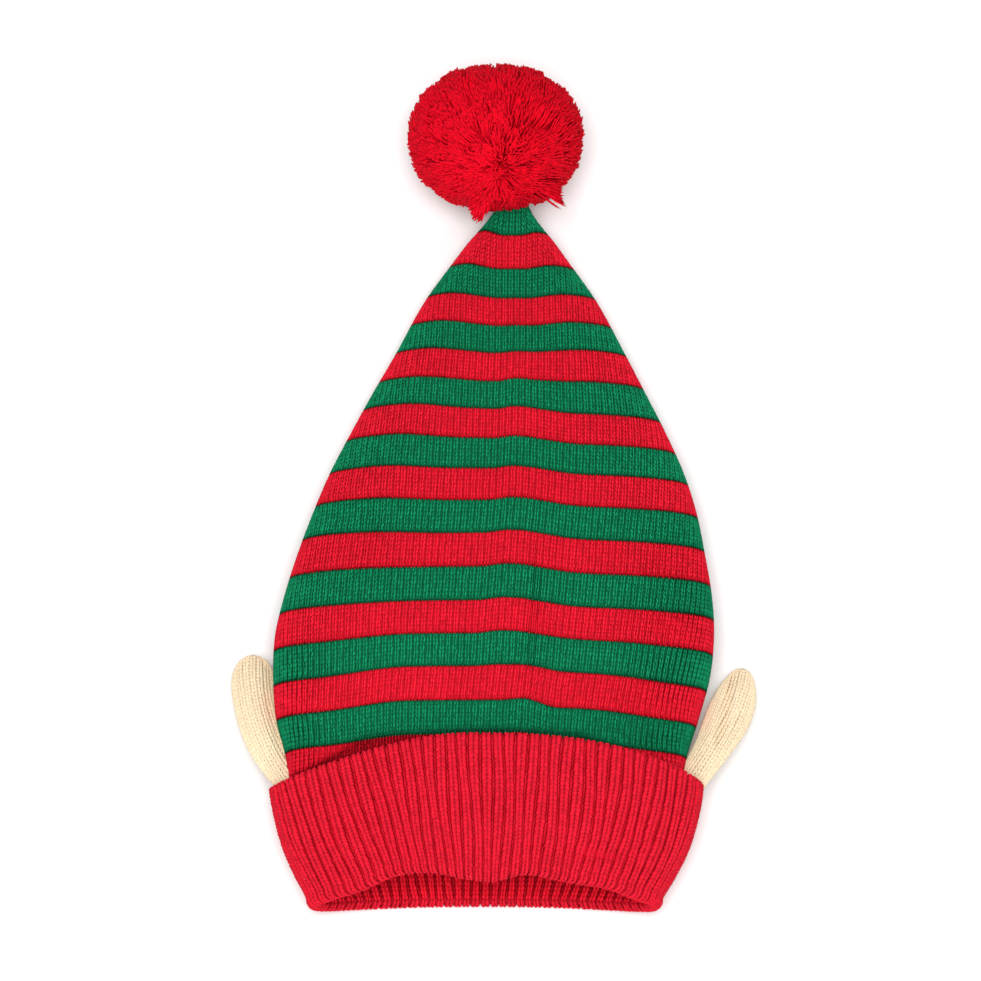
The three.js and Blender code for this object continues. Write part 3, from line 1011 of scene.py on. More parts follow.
@dataclass
class Crown:
    """The striped crown: its knitted surface, its backing and its stripes.

    A fold's place and size along are shares of the crown's length. Further round from
    the front than plain_beyond, the stitches are of a plainer shape.
    """

    tube: Tube
    offset: Array
    stripe: float = 0.01795
    courses_per_stripe: int = 8
    wall: float = 1.4 * MM
    backing_depth: float = 1.15 * MM
    backing_step: int = 4
    # The backing gets a low crest: painted shade, where it shows between stitches.
    backing_shade_yarn: tuple = (0.3, 0.5, 0.0)
    below: float = 2 * MM
    plain_beyond: float = 0.31
    floor_gap: float = 0.7 * MM
    # Rows of (course, width of a wale in millimetres).
    wale_rows: tuple = ((0, 3.3), (30, 3.4), (60, 3.5), (90, 3.55), (120, 3.3), (156, 3.0))
    # Rows of (along, how far the stripes are moved towards the peak, in millimetres).
    drift_rows: tuple = (
        (0.0, 0.0),
        (0.1, -1.8),
        (0.21, -1.3),
        (0.31, -0.8),
        (0.41, 1.8),
        (0.51, 3.8),
        (0.62, 3.2),
        (0.72, -0.4),
        (0.82, -3.2),
        (0.92, -3.6),
        (1.0, 0.0),
    )
    # Where such moves start and end, round the crown and along it.
    front_edges: tuple = ((0.12, 0.26), (0.74, 0.88))
    held_ends: tuple = ((0.0, 0.06), (0.93, 1.0))
    slips: tuple = (
        Slip(Side.RIGHT, 0.446, 0.02, -0.2, 0.2, 4.6 * MM),
        Slip(Side.RIGHT, 0.447, 0.05, 0.2, 0.66, 5.2 * MM, 0.08),
        Slip(Side.RIGHT, 0.36, 0.06, -0.2, 0.24, 3.2 * MM, 0.08),
        Slip(Side.LEFT, 0.63, 0.05, -0.2, 0.27, 4.0 * MM, 0.08),
        Slip(Side.LEFT, 0.61, 0.05, 0.38, 0.62, -2.8 * MM),
        Slip(Side.LEFT, 0.60, 0.07, 0.6, 0.98, -4.0 * MM, 0.08),
        Slip(Side.RIGHT, 0.41, 0.06, 0.68, 0.98, -2.6 * MM, 0.08),
        Slip(Side.LEFT, 0.505, 0.015, 0.2, 0.7, 1.5 * MM),
        Slip(Side.LEFT, 0.475, 0.015, -0.2, 0.2, 1.3 * MM),
    )
    folds: tuple = (
        Fold(0.58, 0.49, 0.1, 0.05, -3.15 * MM),
        Fold(0.36, 0.5, 0.3, 0.016, 1.26 * MM),
        Fold(0.42, 0.65, 0.05, 0.04, -2.45 * MM),
        Fold(0.8, 0.47, 0.06, 0.06, -2.45 * MM),
        Fold(0.18, 0.29, 0.07, 0.035, -3.15 * MM),
        Fold(0.22, 0.47, 0.08, 0.05, -1.4 * MM),
        Fold(0.33, 0.476, 0.22, 0.010, 1.5 * MM),
        Fold(0.34, 0.432, 0.2, 0.016, -1.3 * MM),
        Fold(0.7, 0.482, 0.12, 0.02, 1.4 * MM),
        Fold(0.75, 0.53, 0.1, 0.03, -1.2 * MM),
        Fold(0.455, 0.675, 0.02, 0.035, -1.3 * MM),
        Fold(0.49, 0.67, 0.012, 0.03, 0.9 * MM),
        Fold(0.54, 0.70, 0.02, 0.02, -1.0 * MM),
        Fold(0.2, 0.33, 0.1, 0.02, -1.2 * MM),
    )
    gathers: tuple = (Gather(0.71, 0.035, 0.18, 0.34), Gather(0.31, 0.045, 0.28, 0.52))
    front_furrow: Fold = Fold(0.28, 0.4605, 0.08, 0.0065, 1.0)
    furrow_depth: float = 1.2 * MM
    # How dark the painted shade in the furrows is.
    furrow_shade: float = 0.85
    # The painted shadow along the cuff's edge: its reach, where it starts to fade as a share of
    # that, how dark it is, and rows of (place round, width, how much further it reaches).
    shadow: float = 8.0 * MM
    shadow_fades: float = 0.45
    shadow_dark: float = 0.95
    shadow_rows: tuple = ((0.635, 0.04, 0.8), (0.4, 0.05, 0.35))
    seed: int = 100
    # Rows of (place round, how far from the fold the cuff's free edge is, in millimetres).
    hem_rows: tuple = (
        (0.25, 58),
        (0.3, 61.5),
        (0.34, 66.5),
        (0.38, 72.5),
        (0.42, 76),
        (0.5, 79),
        (0.58, 76.5),
        (0.62, 72),
        (0.66, 66),
        (0.7, 61),
        (0.75, 57),
    )

    def __post_init__(self) -> None:
        """Work the knitted surface out."""
        self.length = self.tube.crown_length
        self.course = self.stripe / self.courses_per_stripe
        self.count = int(self.length / self.course)
        self.rings = Rings(self.tube.inner, self.tube.band_rise - self.below, self.tube.peak)
        self.wales, self.drift, self.hem = (
            Curve(rows, scale=MM) for rows in (self.wale_rows, self.drift_rows, self.hem_rows)
        )
        row = np.arange(2 * self.count + 1)[:, None] / 2 * self.course
        around = np.arange(Rings.COLUMNS)[None] / Rings.COLUMNS + 0 * row
        level = self.tube.band_rise + row + 0 * around
        along = level + self.sway(row / self.length, around)
        points = self.surface(along, around, self.furrows(level, around))
        points[..., 2] = np.maximum(points[..., 2], self.floor_gap)
        self.cloth = Cloth(points)
        self.cloth.girth = self.girth(level[:, 0])

    def girth(self, along: Array) -> Array:
        """Return the way round the crown, without its folds."""
        return np.interp(along, self.rings.stations, self.rings.girth)

    def sway(self, along: Array, around: Array) -> Array:
        """Return how far the stripes wander along the crown's front.

        Args:
            along: places along the crown, as shares of its length.
            around: places round it.

        Returns:
            The move at each place.
        """
        right, left = self.front_edges
        front = smooth_step(*right, around) * (1 - smooth_step(*left, around))
        seam, peak = self.held_ends
        held = smooth_step(*seam, along) * (1 - smooth_step(*peak, along))
        moved = self.drift.at(along) + sum(slip.at(along, around) for slip in self.slips)
        return moved * front * held

    def furrows(self, level: Array, around: Array) -> Array:
        """Return the furrows between wales, at both sides of the cuff and in front.

        Args:
            level: distances from the fold, before the stripes are moved.
            around: places round the crown.

        Returns:
            How far they push the surface out, which is 0 or below.
        """
        share = (level - self.tube.band_rise) / self.length
        wale = self.wales.at(share * self.length / self.course)
        wave = 0.5 - 0.5 * np.cos(TAU * (around - 0.5) * self.girth(level) / wale)
        strength = sum(gather.at(share, around) for gather in self.gathers)
        strength = strength + self.front_furrow.at(share, around)
        return -self.furrow_depth * wave**2 * strength

    def painted_shade(self, row: Array, around: Array) -> Array:
        """Return the painted shade of a place deep in a narrow furrow, or under the cuff's edge.

        Args:
            row: courses from the seam.
            around: places round the crown.

        Returns:
            The painted shade at each place, from 0 to 1.
        """
        level = self.tube.band_rise + row * self.course
        along = level + self.sway(row * self.course / self.length, around)
        deep = -self.furrow_shade * self.furrows(level, around) / self.furrow_depth
        further = sum(more * bump(around, place, width) for place, width, more in self.shadow_rows)
        beyond = (along - self.hem.at(around)) / (1 + further) / self.shadow
        under = 1 - smooth_step(self.shadow_fades, 1.0, beyond)
        return np.clip(deep + self.shadow_dark * under, 0, 1)

    def surface(self, along: Array, around: Array, out: Array) -> Array:
        """Return points on the crown, with its folds.

        Args:
            along: distances from the fold.
            around: places round the crown.
            out: how far each point stands off.

        Returns:
            The points, in the last axis of the array.
        """
        share = (along - self.tube.band_rise) / self.length
        push = sum(fold.at(share, around) for fold in self.folds) + out
        return self.rings.place(along, around, push) + self.offset

    def backing(self, finishes: dict[str, Material]) -> Object:
        """Make the striped wall that the stitches lie on.

        Args:
            finishes: the yarns, by name.

        Returns:
            The wall.
        """
        step = self.backing_step
        rings = self.cloth.sunk(self.backing_depth)[::step, ::step]
        backing = sheet_of("crown_backing", rings, finishes["green"])
        backing.data.materials.append(finishes["red"])
        per_stripe = 2 * self.courses_per_stripe // step
        stripe = np.arange(len(backing.data.polygons)) // rings.shape[1] // per_stripe
        backing.data.polygons.foreach_set("material_index", stripe % 2)
        thicken(backing, self.wall)
        paint(backing.data, self.backing_shade_yarn)
        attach(backing, "root")
        return backing

    def stripes(self, finishes: dict[str, Material]) -> list[Object]:
        """Knit every stripe as its own piece.

        Args:
            finishes: the yarns, by name.

        Returns:
            The stripes, from the cuff to the peak.
        """
        fine, plain = Shape.grain(3, 3), Shape.grain(3, 2)
        gauge = Gauge(2.0, self.wales.at, unevenness=0.075)
        pieces = []
        for number in range(math.ceil(self.count / self.courses_per_stripe)):
            colour = "red" if number % 2 else "green"
            first = number * self.courses_per_stripe
            last = min(first + self.courses_per_stripe, self.count)
            knitting = Knitting(self.cloth, gauge, self.seed + number)
            course, around, width = knitting.courses(first, last)
            shade = StripeShade(self.painted_shade, first, last)
            under = np.abs(around - 0.5) > self.plain_beyond
            strands = Strands()
            for shape, chosen in ((fine, ~under), (plain, under)):
                stitches = (course[chosen], around[chosen], width[chosen])
                knitting.lay(strands, shape, stitches, shade)
            name = f"crown_stripe_{number:02d}_{colour}"
            pieces.append(strands.piece(name, finishes[colour]))
        return pieces


@dataclass
class Cuff:
    """The ribbed band, folded up on itself into the cuff.

    Crowding is how much closer together the ribs are in the middle of the front.
    """

    tube: Tube
    offset: Array
    ribs: int = 82
    crowding: float = 0.07
    relief: float = 1.8 * MM
    chain: float = 0.95
    lean: float = 0.018
    drift: float = 0.0009
    wall: float = 1.4 * MM
    course: float = 2.25 * MM
    edge_radius: float = 1.5 * MM
    edge_rows: int = 8
    outer_rows: int = 72
    fold_rows: int = 12
    inner_rows: int = 44
    columns_per_rib: int = 10
    ripple_power: float = 1.5
    # How many rows the ribs take to rise at the free edge and to end at the seam, how
    # many round the fold are flattened, by how much, and where the layers begin there.
    rise_rows: int = 12
    end_rows: int = 3
    flat_rows: float = 9.0
    flattened: float = 0.75
    fold_share: float = 0.05
    overlap: float = 4 * MM
    below: float = 12 * MM
    seam_gap: float = 0.6 * MM
    floor_gap: float = 0.8 * MM
    # The ribs lean most at this place round, over this width, and wander in waves of
    # (number round, how they shift along the layer, where they start).
    lean_place: tuple[float, float] = (0.64, 0.09)
    waves: tuple = ((9, 4.0, 0.0), (23, -6.0, 1.0))
    backing_steps: tuple[int, int] = (5, 2)
    backing_depth: float = 0.75 * MM
    # The backing's crest, and how much lower it is in the grooves between ribs: painted shade.
    backing_crest: float = 0.55
    rib_groove_shade: float = 0.3
    leg_length: float = 1.6
    gauge: Gauge = Gauge(
        1.0,
        leg_width=0.54,
        thickness=1.9 * MM,
        lift=-0.45 * MM,
        foot=0.17,
        spread=0.12,
        unevenness=0.04,
    )
    seed: int = 300
    # Rows of (place round, how much higher the fold is there, and how much higher the
    # free edge is), in millimetres.
    edge_table: tuple = (
        (0.0, 0.0, 0.0),
        (0.3, 0.0, 0.0),
        (0.345, 2.4, 0.0),
        (0.38, 2.9, 0.0),
        (0.41, 3.8, 0.0),
        (0.436, 5.4, 0.0),
        (0.456, 5.8, 0.0),
        (0.49, 1.8, 0.0),
        (0.535, 3.8, 0.0),
        (0.57, 7.0, -1.4),
        (0.606, 7.6, -3.4),
        (0.635, 6.2, -4.6),
        (0.67, 1.6, -5.0),
        (0.72, 0.0, -3.4),
        (0.78, 0.0, 0.0),
        (1.0, 0.0, 0.0),
    )
    # Soft wrinkles: place along from the fold in metres, place round, and their sizes.
    wrinkles: tuple = (
        Fold(0.019, 0.365, 0.0035, 0.045, -2.2 * MM),
        Fold(0.012, 0.375, 0.004, 0.040, 1.2 * MM),
        Fold(0.030, 0.33, 0.006, 0.03, -1.2 * MM),
        Fold(0.052, 0.44, 0.012, 0.03, -0.9 * MM),
        Fold(0.038, 0.62, 0.010, 0.035, -0.9 * MM),
        Fold(0.020, 0.545, 0.008, 0.02, -0.8 * MM),
    )

    def __post_init__(self) -> None:
        """Work the ribbed surface out, from the free edge round the fold to the seam."""
        tube = self.tube
        self.columns = self.ribs * self.columns_per_rib
        even = np.arange(self.columns) / self.columns
        swing = np.sin(2 * TAU * even) / (2 * TAU)
        self.around = even - self.crowding * swing
        self.fold_lift, self.edge_lift = (
            Curve(self.edge_table, column, MM).at(self.around) for column in (1, 2)
        )
        up = np.linspace(self.fold_share, 1, self.inner_rows)
        down = np.linspace(1, self.fold_share, self.outer_rows)
        rings = Rings(tube.cuff, -self.below, tube.cuff_front + self.overlap)
        outer = self.layer(rings, self.turned_up, down, 0)
        rings = Rings(tube.inner, -self.below, tube.band_rise + self.overlap)
        inner = self.layer(rings, self.going_in, up, -tube.band_wall)
        fold = self.fold(outer[-1], inner[0])
        smooth = np.concatenate([self.edge(outer), outer, fold, inner])
        smooth[..., 2] = np.maximum(smooth[..., 2], self.floor_gap)
        ripple = (0.5 - 0.5 * np.cos(TAU * self.ribs * even)) ** self.ripple_power
        last = len(smooth) - 1
        row = np.arange(last + 1)
        turn = self.edge_rows + self.outer_rows + self.fold_rows / 2
        fade = smooth_step(0, self.rise_rows, row) * smooth_step(0, self.end_rows, last - row)
        fade = fade * (1 - self.flattened * bump(row, turn, self.flat_rows))
        self.depth = fade[:, None] * ripple[None]
        self.cloth = Cloth(Cloth(smooth).sunk((self.relief * self.depth)[..., None]))

    def fold_height(self, rise: Array, side: Array) -> Array:
        """Return where the fold lies round the cuff."""
        return self.fold_lift + self.tube.fold_arch * rise - self.tube.fold_droop * side

    def turned_up(self, share: float, rise: Array, side: Array) -> Array:
        """Return heights on the turned-up layer.

        Args:
            share: the share of the way to its free edge.
            rise: how far in front each place is, from 0 to 1.
            side: how far to a side each place is, from 0 to 1.

        Returns:
            The distances from the fold's plane.
        """
        edge = self.tube.cuff_side + (self.tube.cuff_front - self.tube.cuff_side) * rise
        edge = edge + self.edge_lift
        low = self.fold_height(rise, side)
        return low + (edge - low) * share

    def going_in(self, share: float, rise: Array, side: Array) -> Array:
        """Return heights on the inner layer, a share of the way to the crown's seam."""
        low = self.fold_height(rise, side)
        return low + (self.tube.band_rise - self.seam_gap - low) * share

    def layer(self, rings: Rings, height: Callable, shares: Array, out: float) -> Array:
        """Return the points of one layer of the cuff.

        Args:
            rings: the outlines that the layer follows.
            height: gives heights for a share, a rise and a side.
            shares: the shares of the way along the layer, one for each row.
            out: how far the layer stands off the outlines.

        Returns:
            The layer's rings.
        """
        rows = []
        leant = self.lean * bump(self.around, *self.lean_place)
        for share in shares:
            drift = sum(
                np.sin(TAU * number * self.around + shift * share + start)
                for number, shift, start in self.waves
            )
            around = self.around - leant * (1 - share) + self.drift * drift
            level = height(share, 0.0, 0.0) + np.zeros(self.columns)
            rise, side = rings.look_up([rings.rise, rings.side], level, around)
            along = height(share, rise, side)
            push = out + sum(w.at(along, around) for w in self.wrinkles) * (out == 0)
            rows.append(rings.place(along, around, push))
        return np.array(rows) + self.offset

    def edge(self, outer: Array) -> Array:
        """Return the points that roll over the free edge, from behind it.

        Args:
            outer: the turned-up layer, from its free edge.

        Returns:
            The rings round the edge.
        """
        up = unit(outer[0] - outer[2])
        inward = -Cloth(outer).normals[0, :-1]
        angle = np.linspace(-0.5, 1, self.edge_rows + 1)[:-1, None, None] * math.pi / 2
        turn = self.edge_radius
        return outer[0] + inward * turn * (1 - np.sin(angle)) + up * turn * np.cos(angle)

    def fold(self, outer: Array, inner: Array) -> Array:
        """Return the points round the fold.

        Args:
            outer: the last ring of the turned-up layer.
            inner: the first ring of the inner layer.

        Returns:
            The rings between the two.
        """
        angle = np.linspace(0, math.pi, self.fold_rows + 2)[1:-1, None, None]
        middle, reach = (outer + inner) / 2, (outer - inner) / 2
        bulge = np.zeros_like(outer)
        bulge[:, 1] = -np.linalg.norm(reach, axis=1)
        return middle + reach * np.cos(angle) + bulge * np.sin(angle)

    def backing(self, finish: Material) -> Object:
        """Make the ribbed wall that the raised chains lie on.

        Args:
            finish: its yarn.

        Returns:
            The wall, with painted shade between the ribs.
        """
        down, across = self.backing_steps
        sunk = self.cloth.sunk(self.backing_depth)[::down, ::across]
        backing = sheet_of("cuff_backing", sunk, finish)
        crest = self.backing_crest - self.rib_groove_shade * self.depth[::down, ::across]
        crest = np.concatenate([crest, crest[:, :1]], axis=1).ravel()
        crest = crest[: len(backing.data.vertices)]
        paint(backing.data, np.stack([crest, crest * 0 + 0.5, crest * 0], axis=1))
        thicken(backing, self.wall)
        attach(backing, "root")
        return backing

    def chains(self, finishes: dict[str, Material]) -> list[Object]:
        """Knit the raised chain of every rib, outside and inside.

        Args:
            finishes: the yarns, by name.

        Returns:
            The chains outside, and those inside.
        """
        front = self.cloth.points[:, self.columns // 2]
        path = np.linalg.norm(np.diff(front, axis=0), axis=1)
        length = np.concatenate([[0], np.cumsum(path)])
        turn = length[self.edge_rows + self.outer_rows + self.fold_rows]
        around = np.arange(self.ribs) / self.ribs
        width = np.full(self.ribs, self.chain / self.ribs)
        pieces = []
        for name, yarn, low, high, shape, seed in (
            ("cuff_chains_outer", "rib", 0.0, turn, Shape.grain(4, 3), self.seed),
            ("cuff_chains_inner", "inner", turn, length[-1], Shape.grain(3, 3), self.seed + 100),
        ):
            stations = np.arange(low + self.course / 2, high, self.course)
            rows = np.interp(stations, length, np.arange(len(length)))
            strands = Strands()
            for number, (row, step) in enumerate(zip(rows, np.gradient(rows))):
                gauge = replace(self.gauge, leg_length=self.leg_length * step)
                knitting = Knitting(self.cloth, gauge, seed + number)
                stitches = (np.full(self.ribs, row), around, width)
                knitting.lay(strands, shape, stitches, full_light)
            pieces.append(strands.piece(name, finishes[yarn]))
        return pieces


@dataclass(frozen=True)
class Crease:
    """A line drawn into a stuffed ear, along a stretch of it.

    Across is where the line lies at the stretch's start and end, as shares of the ear's
    half width, and width is a share too. A depth below 0 is a soft rim.
    """

    start: float
    end: float
    across: tuple[float, float]
    width: float
    depth: float
    fade: float = 0.06

    def at(self, share: Array, across: Array) -> Array:
        """Return how far the crease pulls the ear in.

        Args:
            share: places along the ear.
            across: places across it.

        Returns:
            The depth at each place.
        """
        way = np.clip((share - self.start) / (self.end - self.start), 0, 1)
        middle = self.across[0] + (self.across[1] - self.across[0]) * way
        fade = self.fade
        held = smooth_step(self.start - fade, self.start + fade, share)
        held = held * (1 - smooth_step(self.end - fade, self.end + fade, share))
        return self.depth * held * bump(across, middle, self.width)


LEFT_CREASES = (
    Crease(0.2, 0.98, (0.3, 0.78), 0.22, 3.6 * MM),
    Crease(0.5, 0.95, (-0.66, -0.5), 0.13, 1.4 * MM),
    Crease(0.3, 0.9, (-0.1, 0.1), 0.4, -1.0 * MM),
)
RIGHT_CREASES = (
    Crease(0.4, 0.95, (0.08, -0.66), 0.26, 2.9 * MM),
    Crease(0.35, 0.85, (-0.35, -1.0), 0.22, -1.2 * MM),
    Crease(0.4, 0.85, (0.36, -0.1), 0.2, -0.9 * MM),
    Crease(0.48, 0.66, (0.5, 0.36), 0.16, 1.5 * MM),
)


@dataclass
class Ear:
    """A stuffed knitted ear, sewn between cuff and crown.

    Reach is a share of the length, and tuck how far the foot is set in, as a share of
    the width. Leans are degrees out from the hat's length, and bend says how late they
    change.
    """

    tube: Tube
    offset: Array
    side: Side
    reach: float
    tuck: float
    foot_lean: float
    tip_lean: float
    bend: float
    creases: tuple[Crease, ...]
    length: float = 0.080
    width: float = 0.0245
    thickness: float = 0.015
    foot_depth: float = 0.003
    tip_lift: float = 0.007
    course: float = 2.15 * MM
    wale: float = 3.15 * MM
    pressure: float = 4.0
    frames: int = 16
    cap: float = 0.8 * MM
    spine_steps: int = 240
    held_rings: int = 3
    pinned: float = 0.06
    body_depth: float = 0.3 * MM
    # The body gets a lower crest: painted shade, where it shows between the cover's stitches.
    body_yarn: tuple = (0.6, 0.5, 0.0)
    crease_power: float = 0.6
    crease_shade: float = 0.32
    crease_full: float = 4.0 * MM
    seed: int = 500
    # Rows of (along, left ear's width, right ear's width, thickness), as shares.
    sections: tuple = (
        (0.0, 0.6, 0.6, 0.4),
        (0.1, 0.7, 0.64, 0.54),
        (0.22, 0.82, 0.7, 0.76),
        (0.36, 0.94, 0.79, 0.93),
        (0.5, 0.99, 0.91, 1.0),
        (0.64, 1.0, 0.99, 0.98),
        (0.77, 1.0, 0.93, 0.88),
        (0.87, 0.93, 0.76, 0.72),
        (0.95, 0.66, 0.5, 0.47),
        (0.985, 0.38, 0.3, 0.26),
        (0.998, 0.14, 0.12, 0.1),
    )

    @property
    def name(self) -> str:
        """The ear's name, as its solid has it."""
        return "ear_left" if self.side is Side.LEFT else "ear_right"

    def spine(self, share: Array) -> Array:
        """Return points on the line that the ear follows.

        Args:
            share: places along the ear.

        Returns:
            One point for each, in rows.
        """
        foot = np.array([self.tube.cuff_side - self.foot_depth])
        inner, outer = self.tube.inner(foot), self.tube.cuff(foot)
        gap = outer.half[0] - self.tube.band_wall - inner.half[0]
        foot_z = inner.bottom[0] + (inner.top[0] - inner.bottom[0]) * Rings.WIDEST
        tip_z = self.tip_lift + self.thickness / 2
        step = np.linspace(0, 1, self.spine_steps + 1)
        lean = self.foot_lean + (self.tip_lean - self.foot_lean) * step**self.bend
        stride = self.reach * self.length / self.spine_steps
        sideways = np.sin(np.radians(lean[:-1])) * stride
        onwards = np.cos(np.radians(lean[:-1])) * stride
        out = inner.half[0] + gap / 2 - self.tuck * self.width
        out = out + np.concatenate([[0], np.cumsum(sideways)])
        x = inner.centre[0] + self.side.value * out
        y = foot[0] + np.concatenate([[0], np.cumsum(onwards)])
        z = foot_z + (tip_z - foot_z) * smooth_step(0, 1, step)
        return np.stack([np.interp(share, step, a) for a in (x, y, z)], axis=1)

    def form(self, rows: int = 61, columns: int = 48) -> Array:
        """Return the rings of the ear before it is filled.

        Args:
            rows: how many rings.
            columns: how many points a ring has, from the middle of the ear's back.

        Returns:
            The rings, from the foot to the tip.
        """
        share = np.linspace(0.0, self.sections[-1][0], rows)
        middle = self.spine(share)
        along = unit(np.gradient(middle, axis=0))
        across = unit(-np.cross([0, 0, 1], along))
        up = np.cross(across, along)
        column = 1 if self.side is Side.LEFT else 2
        half = Curve(self.sections, column).at(share) * self.width / 2
        rise = Curve(self.sections, 3).at(share) * self.thickness / 2
        angle = np.linspace(-math.pi / 2, 1.5 * math.pi, columns, endpoint=False)[None]
        c, s = np.cos(angle), np.sin(angle)
        lowered = np.maximum(s, 0) ** self.crease_power * self.pulled(share[:, None], c)
        return (
            middle[:, None]
            + across[:, None] * (half[:, None] * c)[..., None]
            + up[:, None] * (rise[:, None] * s - lowered)[..., None]
            + self.offset
        )

    def pulled(self, share: Array, across: Array) -> Array:
        """Return how far the creases pull the ear in, together."""
        return sum(crease.at(share, across) for crease in self.creases)

    def fill(self, rings: Array, yarn: Material) -> Array:
        """Blow the ear up a little like stuffing, with its foot held.

        Args:
            rings: the ear's rings.
            yarn: a finish for the skin that is simulated.

        Returns:
            The rings after a short cloth simulation, none of them moved far.
        """
        rows, columns = rings.shape[:2]
        skin = sheet_of(self.name + "_skin", rings, yarn)
        corners = np.concatenate([rings, rings[:, :1]], axis=1).reshape(-1, 3)
        place = np.array([v.co for v in skin.data.vertices])
        held = skin.vertex_groups.new(name="held")
        foot = self.held_rings * columns
        held.add(list(range(foot)), 1.0, "REPLACE")
        held.add(list(range(foot, len(place))), self.pinned, "REPLACE")
        modifier = skin.modifiers.new("Cloth", "CLOTH")
        cloth = modifier.settings
        cloth.quality = 5
        cloth.mass = 0.1
        cloth.use_pressure = True
        cloth.uniform_pressure_force = self.pressure
        cloth.vertex_group_mass = "held"
        cloth.effector_weights.gravity = 0
        modifier.point_cache.frame_start = 1
        modifier.point_cache.frame_end = self.frames
        scene = bpy.context.scene
        for frame in range(1, self.frames + 1):
            scene.frame_set(frame)
        apply(skin, modifier)
        moved = np.array([v.co for v in skin.data.vertices]) - place
        reach = np.linalg.norm(moved, axis=1, keepdims=True)
        LOG.info("%s: filling moved it %.2f mm at most", self.name, reach.max() / MM)
        moved *= np.minimum(1, self.cap / np.maximum(reach, 1e-9))
        scene.frame_set(1)
        bpy.data.objects.remove(skin, do_unlink=True)
        nearest = np.linalg.norm(corners[:, None] - place[None], axis=2).argmin(axis=1)
        return rings + moved[nearest].reshape(rows, columns + 1, 3)[:, :-1]

    def shade(self, share: Array, place: Array) -> Array:
        """Paint shade onto the yarn down in the creases.

        Args:
            share: places along the ear.
            place: places round it, from the middle of its back.

        Returns:
            The lightness at each place.
        """
        turned = TAU * place - math.pi / 2
        deep = self.pulled(share, np.cos(turned)) * (np.sin(turned) > 0)
        return 1.0 - self.crease_shade * np.clip(deep / self.crease_full, 0, 1)

    def body(self, cloth: Cloth, yarn: Material) -> Object:
        """Make the stuffed body, closed at both ends, inside its cover.

        Args:
            cloth: the ear's surface.
            yarn: its finish.

        Returns:
            The body.
        """
        body = sheet_of(self.name + "_body", cloth.sunk(self.body_depth), yarn)
        with editing("DESELECT"):
            bpy.ops.mesh.select_non_manifold()
            bpy.ops.mesh.fill()
        paint(body.data, self.body_yarn)
        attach(body, "root")
        return body

    def build(self, yarn: Material) -> list[Object]:
        """Make the stuffed body and knit its cover.

        Args:
            yarn: the finish of both.

        Returns:
            The body and the cover.
        """
        rings = self.form()
        rings = self.fill(rings, yarn)
        cloth = Cloth(rings)
        body = self.body(cloth, yarn)
        courses = int(self.length * self.reach / self.course)
        gauge = Gauge(
            (cloth.rows - 1) / courses,
            lambda course: np.full_like(course, self.wale),
            leg_width=0.52,
            thickness=1.1 * MM,
            spread=0.2,
        )
        knitting = Knitting(cloth, gauge, self.seed + self.side.value)
        strands = Strands()
        stitches = knitting.courses(0, courses)
        knitting.lay(
            strands,
            Shape.grain(4, 4),
            stitches,
            lambda row, place: self.shade(row / courses, place),
        )
        cover = strands.piece(self.name + "_cover", yarn)
        return [body, cover]


@dataclass(frozen=True)
class Tuft:
    """A lock of the pompom that hangs out further than the rest."""

    direction: tuple[float, float, float]
    spread: float
    longer: float

    def at(self, heading: Array) -> Array:
        """Return how much longer the strands are that end in each direction.

        Args:
            heading: directions of length 1, in the last axis.

        Returns:
            The added length, as a share of the ball's radius.
        """
        middle = unit(np.array(self.direction))
        apart = np.arccos(np.clip(heading @ middle, -1, 1))
        return self.longer * bump(apart, 0.0, self.spread)


@dataclass
class Parting:
    """The side of the ball whose strands are combed away from one pole.

    Directions are worked out on a flat map, whose middle is the pole and whose
    distances from there are angles.
    """

    pole: Array
    cover: float
    seed: int

    def __post_init__(self) -> None:
        """Work out two directions square to the pole."""
        self.pole = unit(self.pole)
        self.side = unit(np.cross(self.pole, [1.0, 0.0, 0.0]))
        self.other = np.cross(self.pole, self.side)
        self.random = np.random.default_rng(self.seed)

    @staticmethod
    def flat(polar: Array, turn: Array) -> Array:
        """Return places on the flat map, an angle from the pole and one round it."""
        return polar[:, None] * np.stack([np.cos(turn), np.sin(turn)], axis=1)

    def direction(self, flat: Array) -> Array:
        """Turn places on the flat map into directions.

        Args:
            flat: the places, in the last axis.

        Returns:
            Directions of length 1, in the last axis.
        """
        angle = np.linalg.norm(flat, axis=2)
        towards = flat / np.maximum(angle, 1e-9)[..., None]
        level = towards[..., :1] * self.side + towards[..., 1:] * self.other
        return np.cos(angle)[..., None] * self.pole + np.sin(angle)[..., None] * level


@dataclass
class Combing:
    """Where the strands of one parting start and end, and which lock each belongs to."""

    start: Array
    end: Array
    lock: Array
    polar: Array


